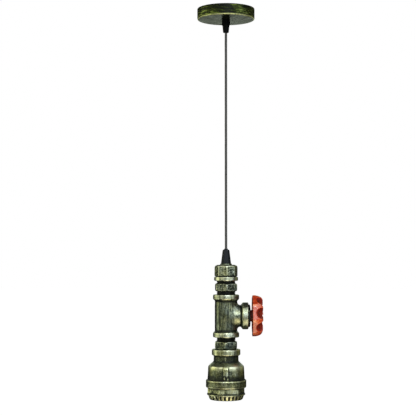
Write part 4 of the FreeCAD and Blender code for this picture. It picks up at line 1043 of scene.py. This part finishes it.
def reducer_shape(theta, r, z, extra):
    out = r.copy()
    for side, off in ((-1, -0.7), (1, 0.7)):
        a = theta - math.atan2(side, 0.0)
        a = (a + PI) % (2 * PI) - PI
        across = r * np.sin(a) * (-side)            # towards +X from the rib's plane
        across = np.where(np.abs(a) < PI / 2, across * (1 if side < 0 else -1) * (-side) - off, 99.0)
        p = np.stack([across, z, np.full_like(z, 5.0 * side)], -1)
        edge = 3.75 + 0.55 * noise(p, 5.5, 83)
        top = np.interp(z, RIB[:, 0], RIB[:, 1]) + 0.35 * fbm(p, 4.2, 84)
        rib = top - 1.25 * np.clip(np.abs(across) - edge, 0, None) - 0.035 * across ** 2
        rib = np.where((z < -619.0) & (z > -648.5) & (r > 28.5) & (np.abs(across) < 9), rib, 0)
        out = np.where(rib > 0, smax(out, rib, 0.9), out)
    return out


obj, v, q = lathe("reducing_socket_2_to_1", [(24.75, -592.5, 1.6), (24.75, -602.0, 1.6), (21.5, -603.8, 1.0), (21.5, -613.0, 4.0), (30.9, -621.4, 5.0),
                                             (32.1, -642.8), (32.1, -644.2, 0.5), (34.9, -645.2, 1.6), (34.9, -658.2, 1.8), (29.85, -658.2, 0.3),
                                             (29.85, -635.5), (27.2, -635.5), (27.2, -623.0, 4.0), (15.2, -613.0), (15.2, -609.9), (16.65, -609.9),
                                             (16.65, -592.5, 0.3)],
                  360, lambda r, z: 0.55 if (r > 30.2 or (r > 17.5 and z > -613) or (z > -624 and r > 20 and r - 20.5 > (-612 - z) * 0.9)) else 2.4,
                  0.34, shape=reducer_shape, cast=0.16, seed=81)
rad = np.hypot(v[:, 0], v[:, 1])
inner = np.interp(-v[:, 2], [592.0, 611.0, 613.0, 623.0, 636.0, 657.0], [17.2, 17.2, 17.0, 28.0, 28.0, 30.2])
top_bead, low_bead = 1 - step01(-v[:, 2], 601.6, 603.2), step01(-v[:, 2], 644.4, 645.8)
neck = step01(-v[:, 2], 603.0, 604.6) * (1 - step01(-v[:, 2], 612.5, 616.0))
foot = step01(-v[:, 2], 634.0, 641.0) * (1 - step01(-v[:, 2], 643.6, 645.0))
# gold on the rounded shoulder, raised into a painted highlight band
shoulder = np.exp(-((v[:, 2] + 621.6) / 5.6) ** 2)
line_up, line_low = np.exp(-((v[:, 2] + 646.2) / 0.9) ** 2), np.exp(-((v[:, 2] + 657.0) / 1.0) ** 2)
near_rib = np.minimum(np.abs(v[:, 0] + 0.7 * np.where(v[:, 1] < 0, 1, -1)), 30.0)
on_rib = (1 - step01(near_rib, 3.4, 4.2)) * step01(-v[:, 2], 617.5, 619.5) * (1 - step01(-v[:, 2], 645.0, 648.0)) * (np.abs(v[:, 1]) > 24)
# painted shade in the creases beside the ribs
rib_side_shade = np.exp(-((near_rib - 5.0) / 0.8) ** 2) * step01(-v[:, 2], 619.0, 621.0) * (1 - step01(-v[:, 2], 643.0, 645.5)) * (np.abs(v[:, 1]) > 24)
rib_top = on_rib * (1 - step01(-v[:, 2], 626.5, 629.0))
rib_low = on_rib * step01(-v[:, 2], 627.0, 630.0)
neck_mark = np.exp(-((v[:, 0] + 1.6) / 1.0) ** 2) * step01(-v[:, 2], 604.5, 606.0) * (1 - step01(-v[:, 2], 610.5, 613.0)) * (v[:, 1] < 0)
lift = 0.02 + 0.50 * top_bead + 0.74 * shoulder * (1 - top_bead) - 0.10 * neck + 0.50 * neck_mark + low_bead * (0.25 + 0.16 * line_up + 0.32 * line_low)
lift = lift - 0.14 * rib_top + 0.34 * rib_low
az = azimuth(v)
belly_sheen = step01(-v[:, 2], 615.0, 619.0) * (1 - step01(-v[:, 2], 636.0, 642.0)) * (1 - on_rib)
# painted highlights on the belly's right front, a little on its left, and on the neck's left front; painted shade on
# the belly's front and lower left
lift = lift + belly_sheen * (0.37 * near(az, 44, 24) + 0.05 * near(az, -40, 20) - 0.06 * near(az, -12, 10)) + 0.24 * neck * near(az, -30, 25)
lift = lift - 0.09 * belly_sheen * step01(-v[:, 2], 626.0, 630.0) * near(az, -45, 30)
# dark: the bore; painted shade in the neck, less on its lit left front, and beside the ribs; darker above the lower
# bead and in two bands on it
dark = np.where(rad < inner, 1.0, 0.46 * neck * (1 - neck_mark) * (1 - 0.5 * near(az, -30, 22)) + 0.60 * foot * (1 - on_rib) + 0.55 * rib_side_shade
                + low_bead * (0.10 + 0.34 * np.exp(-((v[:, 2] + 648.6) / 0.9) ** 2) + 0.30 * np.exp(-((v[:, 2] + 655.2) / 0.8) ** 2)) * (1 - line_up) * (1 - line_low))
finish_iron(obj, v, lift, dark, streaks(v, 2.8, 85) * (0.10 + 0.90 * top_bead + 0.25 * low_bead), "pendant", "antique_iron", IRON_SMOOTH, "reducing_socket")


# hexagon collar with its flange
def collar_shape(theta, r, z, extra):
    hexagon = polygon_r(theta, 6, 32.5, turn(39), 1.2)
    wobble = 0.08 * noise(np.stack([np.cos(theta) * 30, np.sin(theta) * 30, z], -1), 7.0, 92)
    cut = smin(r, hexagon + wobble, 0.5)
    on = (z < -658.7) & (z > -668.8) & (r > 26)
    return np.where(on, cut + (r - cut) * extra, r)


obj, v, q = lathe("lampholder_collar", [(24.5, -637.5), (28.8, -637.5), (29.75, -638.8), (29.75, -658.5), (30.4, -658.5, 0, 0.0),
                                        (32.5, -659.3, 0.3, 0.0), (32.5, -667.65, 0, 0.0), (32.45, -667.72, 0, 0.02), (32.4, -667.76, 0, 0.5),
                                        (32.35, -667.82, 0, 1.0), (33.0, -668.5, 0.5, 1.0), (33.0, -670.8, 0.8, 1.0), (20.2, -670.8),
                                        (20.2, -665.2), (24.5, -665.2)],
                  360, lambda r, z: 0.06 if (-667.9 < z < -667.6 and r > 31) else (0.45 if r > 30.2 else 2.4), 0.14, shape=collar_shape,
                  cast=0.12, seed=91)
rad = np.hypot(v[:, 0], v[:, 1])
rolled = step01(-v[:, 2], 667.6, 668.2)
lip = np.exp(-((v[:, 2] + 670.1) / 0.5) ** 2) * (rad > 31.5)
az = azimuth(v)
# a tone that varies round the hex, plus a painted highlight on the face near +24° and painted shade on the faces near
# -52° and +62°
hex_tone_and_sheen = 0.32 + 0.10 * np.sin(np.radians(az * 3 + 40.0)) + 0.38 * near(az, 24, 14) - 0.10 * near(az, -52, 22) - 0.14 * near(az, 62, 22)
finish_iron(obj, v, hex_tone_and_sheen * (1 - rolled) + rolled * (0.36 + 0.40 * lip),
            # dark: the bore and the thread; painted shadow lines at the hex's top under the socket's bead and at its
            # foot above the flange
            np.where((rad < 25.5) | (v[:, 2] > -658.6), 1.0, np.maximum(0.85 * np.exp(-((v[:, 2] + 668.1) / 0.9) ** 2), 0.90 * np.exp(-((v[:, 2] + 658.9) / 1.0) ** 2))),
            streaks(v, 3.0, 95) * 0.45, "pendant",
            "antique_iron", IRON_WARM, "holder_collar")


# shade ring with finger grooves
RIBS = 25


def from_groove(theta):
    step = 2 * PI / RIBS
    return (theta - math.radians(5.6) + step / 2) % step - step / 2


def ring_shape(theta, r, z, extra):
    g = from_groove(theta)
    d = 30.8 + 1.25 - 0.33 * (-671.6 - z)
    s = d * np.sin(g)
    near = d * np.cos(g) - np.sqrt(np.clip(2.3 ** 2 - s ** 2, 0, None))
    near = np.where(np.abs(s) < 2.3, near, 99.0)
    return np.where((r > 24) & (z > -678.6) & (z < -671.0), smin(r, near, 0.45), r)


obj, v, q = lathe("shade_ring_ribbed", [(19.8, -670.8), (30.8, -670.8, 0.5), (30.3, -673.2, 3.0), (28.9, -677.4, 1.2), (27.6, -678.8, 0.5),
                                        (25.0, -678.8, 0.5), (21.2, -674.6, 1.0), (19.8, -674.6)],
                  450, lambda r, z: 0.40 if r > 24 and z < -670.9 else 1.3, 0.16, shape=ring_shape, cast=0.06, seed=97, tight=10, wide=50)
rad, way = np.hypot(v[:, 0], v[:, 1]), np.arctan2(v[:, 1], v[:, 0])
off = np.abs(from_groove(way)) * 29.5
outside = rad > 26.5
crest = step01(off, 1.5, 2.9) * outside
az = azimuth(v)
# gold on the crests, with a painted highlight near -36° and painted shade near the front; the grooves stay black
finish_iron(obj, v, 0.25 + (0.50 + 0.14 * near(az, -36, 18) - 0.14 * near(az, 4, 12)) * crest, 0.86 * (1 - step01(off, 0.9, 2.1)) * outside * (v[:, 2] > -678.0), streaks(v, 4.0, 98) * 0.45 * crest,
            "pendant", "antique_iron", IRON_WARM, "shade_ring")

# --------------------------------------------------------------- lampholder
obj, v, q = lathe("holder_skirt", [(12.5, -626.0, 2.0), (19.75, -632.5, 3.0), (19.75, -663.0), (23.8, -663.0, 0.5), (23.8, -665.2, 0.3),
                                   (19.75, -665.2), (19.75, -677.2, 0.6), (15.0, -677.2, 0.5), (15.0, -650.0), (17.5, -650.0), (17.5, -633.5),
                                   (11.5, -628.2), (5.5, -628.2), (5.5, -626.0)],
                  144, lambda r, z: 0.5 if z < -670 else 1.5, 0.15, wear=False)
place(obj, "pendant", "dark_moulding", MOULDING, "lampholder_body")


def knuckle(theta, r, z, extra):
    wave = 0.5 + 0.5 * np.cos(2 * PI * (z / 3.629 - theta / (2 * PI)))
    seen = step01(-z, 654.6, 655.6) * (1 - step01(-z, 673.8, 674.8))
    return r - 0.62 * wave * seen


obj, v, q = lathe("lamp_screw_shell", [(8.5, -650.0), (13.0, -650.0, 0.4), (13.0, -653.5, 0.3), (13.75, -654.0, 0.3), (13.75, -675.2, 0.2),
                                       (13.3, -675.2, 0.2), (13.3, -654.1, 0.3), (12.5, -653.8, 0.3), (12.5, -650.5, 0.3), (8.5, -650.5)],
                  120, 0.42, 0.0, shape=knuckle, wear=False)
place(obj, "pendant", "brass_part", BRASS, "screw_shell")

obj, v, q = lathe("lamp_centre_contact", [(0.0, -642.0), (1.5, -642.0, 0.2), (1.5, -650.4, 0.1), (4.0, -650.4, 0.2), (4.0, -651.0, 0.3),
                                          (2.2, -653.1, 0.9), (0.0, -653.4)], 48, 0.3, 0.08, wear=False, closed=False)
place(obj, "pendant", "brass_part", BRASS, "centre_contact")


# ---------------------------------------------------------------- handwheel
dome = Outline([(-30, 45.4), (36.5, 45.4, 0.8), (36.5, 50.0, 8.0), (32.2, 63.3, 7.5), (20.5, 63.3, 1.5), (16.5, 60.6, 1.5), (-30, 60.6)], 0.24)
hollow_out = Outline([(-30, 40), (30.2, 40), (30.2, 50.0, 4.0), (21.5, 57.2, 2.0), (-30, 57.2)], 0.24)
hub_outline = Outline([(-30, 42.3), (10.0, 42.3, 0.8), (10.6, 57.0, 0.5), (12.6, 58.8, 0.8), (12.6, 59.6, 0.6), (10.0, 60.6), (-30, 60.6)], 0.2)
FLAT0 = math.radians(-11.0 - 90.0)
FLAT_R = 34.3
# the finger scoops: cones whose lowest line joins foot and head
foot, head_ = np.array([34.2, 51.5]), np.array([20.5, 61.2])
along = (head_ - foot) / np.linalg.norm(head_ - foot)
outward = np.array([along[1], -along[0]])
cone0, cone1 = foot + 12.5 * outward, head_ + 9.5 * outward
cone_axis = (cone1 - cone0) / np.linalg.norm(cone1 - cone0)
cone_taper = math.asin((12.5 - 9.5) / np.linalg.norm(cone1 - cone0))


def wheel(p):
    t = p[:, 0]
    lx, ly = -(p[:, 2] - TEE_Z), p[:, 1]
    rho = np.hypot(lx, ly)
    phi = np.arctan2(ly, lx)
    step = 2 * PI / 8
    g = (phi - FLAT0 + step / 2) % step - step / 2       # from the nearest flat's middle
    body = smax(dome(rho, t), rho * np.cos(g) - FLAT_R, 0.5)
    body = smax(body, -hollow_out(rho, t), 0.5)
    # finger scoop over the shoulder
    q = np.stack([rho * np.cos(g) - cone0[0], t - cone0[1]], 1)
    run = q @ cone_axis
    off = np.sqrt((rho * np.sin(g)) ** 2 + (q[:, 0] * cone_axis[1] - q[:, 1] * cone_axis[0]) ** 2)
    scoop = (off - (12.5 / math.cos(cone_taper) - run * math.tan(cone_taper))) * math.cos(cone_taper)
    body = smax(body, -scoop, 0.9)
    # windows between the spokes
    q1 = np.abs(rho - 16.2) - (2.4 - 1.5)
    q2 = np.abs(g) * rho - (math.radians(14.0) * rho - 1.5)
    window = np.hypot(np.clip(q1, 0, None), np.clip(q2, 0, None)) + np.minimum(np.maximum(q1, q2), 0) - 1.5
    window = np.maximum(window, 50.0 - t)
    body = smax(body, -window, 0.8)
    body = smin(body, hub_outline(rho, t), 1.0)
    body = np.maximum(body, -np.maximum(rho - 8.6, t - 46.4))
    square = np.maximum(np.maximum(np.abs(lx), np.abs(ly)) - 2.5, rho - 3.0)
    return np.maximum(body, -square)


obj, v, q = field("handwheel_8", wheel, (41.5, -37.0, TEE_Z - 37.0), (64.2, 37.0, TEE_Z + 37.0), 0.55, cast=0.11, seed=101, wide=60)
wx, wz, wy = v[:, 0], -(v[:, 2] - TEE_Z), v[:, 1]
wr = np.hypot(wz, wy)
wg = (np.arctan2(wy, wz) - FLAT0 + PI / 8) % (PI / 4) - PI / 8
q = np.stack([wr * np.cos(wg) - cone0[0], wx - cone0[1]], 1)
run = q @ cone_axis
off = np.sqrt((wr * np.sin(wg)) ** 2 + (q[:, 0] * cone_axis[1] - q[:, 1] * cone_axis[0]) ** 2)
scooped = 1 - step01((off - (12.5 / math.cos(cone_taper) - run * math.tan(cone_taper))) * math.cos(cone_taper), 0.15, 1.1)
scooped = scooped * (wr > 19.5) * (wx > 50)
ends = step01(np.abs(wg) * wr, 11.3, 13.0) * (wr > 33.0)
# pit: painted shade in the finger scoops, and deeper in the wheel's hollow, windows and hub bore
attribute(obj, "pit", np.maximum(0.62 * scooped, 0.9 * ((wr < 30.0) & (wx < 57.6) & (wr > 9)) + 0.75 * ((wr <= 9) & (wx < 47))))
# painted highlights at the flats' ends and along the ridges between the scoops
attribute(obj, "rub", np.maximum(ends * (wx < 55), 0.6 * np.exp(-((np.abs(wg) * wr - 0.30 * wr) / 1.6) ** 2) * (wx > 54) * (1 - scooped)))
# painted shade along the back edge
attribute(obj, "back", np.exp(-((wx - 45.2) / 1.1) ** 2))
place(obj, "valve_wheel", "red_paint", RED, "handwheel")

obj, v, q = lathe("wheel_screw_washer", [(2.1, 60.6), (7.6, 60.6, 0.2), (7.6, 61.5, 0.3), (2.1, 61.5)], 96, 0.3, 0.06, branch=True, wear=False)
place(obj, "valve_wheel", "zinc_steel", ZINC, "wheel_washer")

head = Outline([(-20, 61.5), (6.5, 61.5, 0.2), (6.5, 64.2, 0.9), (-20, 64.2)], 0.1, h=0.15)


def screw(p):
    t = p[:, 0]
    lx, ly = -(p[:, 2] - TEE_Z), p[:, 1]
    rho = np.hypot(lx, ly)
    body = smax(head(rho, t), -np.maximum(np.abs(lx) - 1.3, 62.2 - t), 0.2)
    return smin(body, np.maximum(rho - 1.9, np.maximum(50.5 - t, t - 62.0)), 0.2)


obj, v, q = field("wheel_slotted_screw", screw, (50.0, -7.2, TEE_Z - 7.2), (64.8, 7.2, TEE_Z + 7.2), 0.26)
place(obj, "valve_wheel", "zinc_steel", RED, "wheel_screw")

# ----------------------------------------- CAD parts that keep their own mesh
CARRIED = {
    "mounting_bracket": ZINC, "canopy_nipple": ZINC, "canopy_locknuts": ZINC, "canopy_grip_sleeve": NYLON, "cord_upper_end": SHEATH,
    "terminal_block": NYLON, "terminal_block_screws": BRASS, "canopy_lead_live": CORE_BROWN, "canopy_lead_neutral": CORE_BLUE,
    "canopy_lead_earth": CORE_EARTH, "bracket_earth_screw": BRASS, "bracket_earth_lug": ZINC, "bracket_earth_lead": CORE_EARTH,
    "lamp_grip_sleeve": NYLON, "lamp_nipple": ZINC, "lamp_locknut": ZINC, "switch_body": MOULDING, "switch_terminal_screws": BRASS,
    "switch_locknut": IRON_LOW, "lampholder_core": PORCELAIN, "lampholder_screws": BRASS, "cord_lower_end": SHEATH,
    "lead_live": CORE_BROWN, "lead_switched": CORE_BROWN, "lead_neutral": CORE_BLUE, "lead_earth": CORE_EARTH, "earth_lug": ZINC,
    "earth_screw": BRASS, "switch_spindle": ZINC,
}
for name, material in CARRIED.items():
    node = NODES[name]
    for slot_ in node.material_slots:
        slot_.material = material
    if not node.material_slots:
        print("no slot on", name)

# ------------------------------------------------------------ stage, lights
scene = bpy.context.scene
scene.view_settings.view_transform = "Standard"
scene.view_settings.look = "None"
scene.view_settings.exposure = 0.0
scene.view_settings.gamma = 1.0


def floor():
    """A pale studio floor far below the lamp."""
    n, r = 96, 40000.0
    th = np.arange(n) * 2 * PI / n
    radii = np.array([0.02, 0.08, 0.25, 0.6, 1.0]) * r
    v = np.concatenate([np.stack([np.cos(th) * x, np.sin(th) * x, np.full(n, -1900.0)], 1) for x in radii])
    v = np.vstack([v, [[0, 0, -1900.0]]])
    quads = ring_quads(len(radii), n, False)
    j = np.arange(n)
    tris = np.stack([j, (j + 1) % n, np.full(n, len(v) - 1)], 1)
    obj = build("studio_floor", v, quads[:, ::-1], tris[:, ::-1])
    p = Paint("studio_white")
    o = p.mm()
    soft = p.noise(o, 900.0, 2.0)
    p.set(color=p.mix(p.span(soft, -1, 1), (0.93, 0.93, 0.925), (0.96, 0.96, 0.96)), rough=0.9)
    p.b.inputs["Emission Color"].default_value = (1, 1, 1, 1)
    p.b.inputs["Emission Strength"].default_value = 1.0
    obj.data.materials.append(p.m)
    obj.visible_diffuse = False
    obj.visible_glossy = False
    obj.visible_shadow = False
    return obj


floor()

world = bpy.data.worlds.new("studio")
scene.world = world
world.use_nodes = True
wt = world.node_tree
wt.nodes.clear()
w_out = wt.nodes.new("ShaderNodeOutputWorld")
w_mix = wt.nodes.new("ShaderNodeMixShader")
w_dim = wt.nodes.new("ShaderNodeBackground")
w_white = wt.nodes.new("ShaderNodeBackground")
w_ray = wt.nodes.new("ShaderNodeLightPath")
w_dim.inputs[0].default_value = (0.95, 0.98, 1.0, 1)
w_dim.inputs[1].default_value = 0.03
w_white.inputs[0].default_value = (1, 1, 1, 1)
w_white.inputs[1].default_value = 1.0
wt.links.new(w_ray.outputs["Is Camera Ray"], w_mix.inputs[0])
wt.links.new(w_dim.outputs[0], w_mix.inputs[1])
wt.links.new(w_white.outputs[0], w_mix.inputs[2])
wt.links.new(w_mix.outputs[0], w_out.inputs[0])


def lamp(name, at, to, width, height, watts, color=(1, 1, 1)):
    data = bpy.data.lights.new(name, "AREA")
    data.shape = "RECTANGLE"
    data.size, data.size_y = width, height
    data.energy = watts
    data.color = color
    obj = bpy.data.objects.new(name, data)
    obj.location = at
    obj.rotation_mode = "QUATERNION"
    obj.rotation_quaternion = (Vector(to) - Vector(at)).to_track_quat("-Z", "Y")
    obj.visible_camera = False
    scene.collection.objects.link(obj)
    return obj


def box(name, azimuth, height, away, width, tall, radiance, color=(1, 1, 1)):
    """A softbox seen from the lamp at an azimuth (from the camera, to the right) and a height, in degrees."""
    a, e = math.radians(azimuth), math.radians(height)
    middle = (0.0, 0.0, -0.50)
    at = (away * math.cos(e) * math.sin(a), -away * math.cos(e) * math.cos(a), middle[2] + away * math.sin(e))
    lamp(name, at, middle, width, tall, radiance * PI * width * tall, color)


box("key_wide", 31, 28, 1.5, 2.4, 2.6, 1.35, (0.93, 1.0, 0.985))
box("key_core", 9, 32, 1.9, 0.52, 0.62, 7.0, (0.96, 1.0, 0.99))
box("left_strip", -92, 2, 1.6, 1.15, 2.2, 1.6, (0.99, 1.0, 0.67))
box("left_front", -37, 22, 1.7, 1.15, 1.9, 1.3, (1.0, 1.0, 0.79))
box("right_strip", 116, 6, 1.7, 0.9, 2.0, 0.26, (1.0, 1.0, 0.46))
box("bounce", 12, -53, 1.8, 1.5, 1.5, 2.25, (1.0, 0.885, 0.58))
lamp("backdrop", (0, 1.3, -0.18), (0, 0, -0.10), 1.6, 0.30, 0.9 * PI * 1.6 * 0.30, (0.89, 1.0, 0.80))
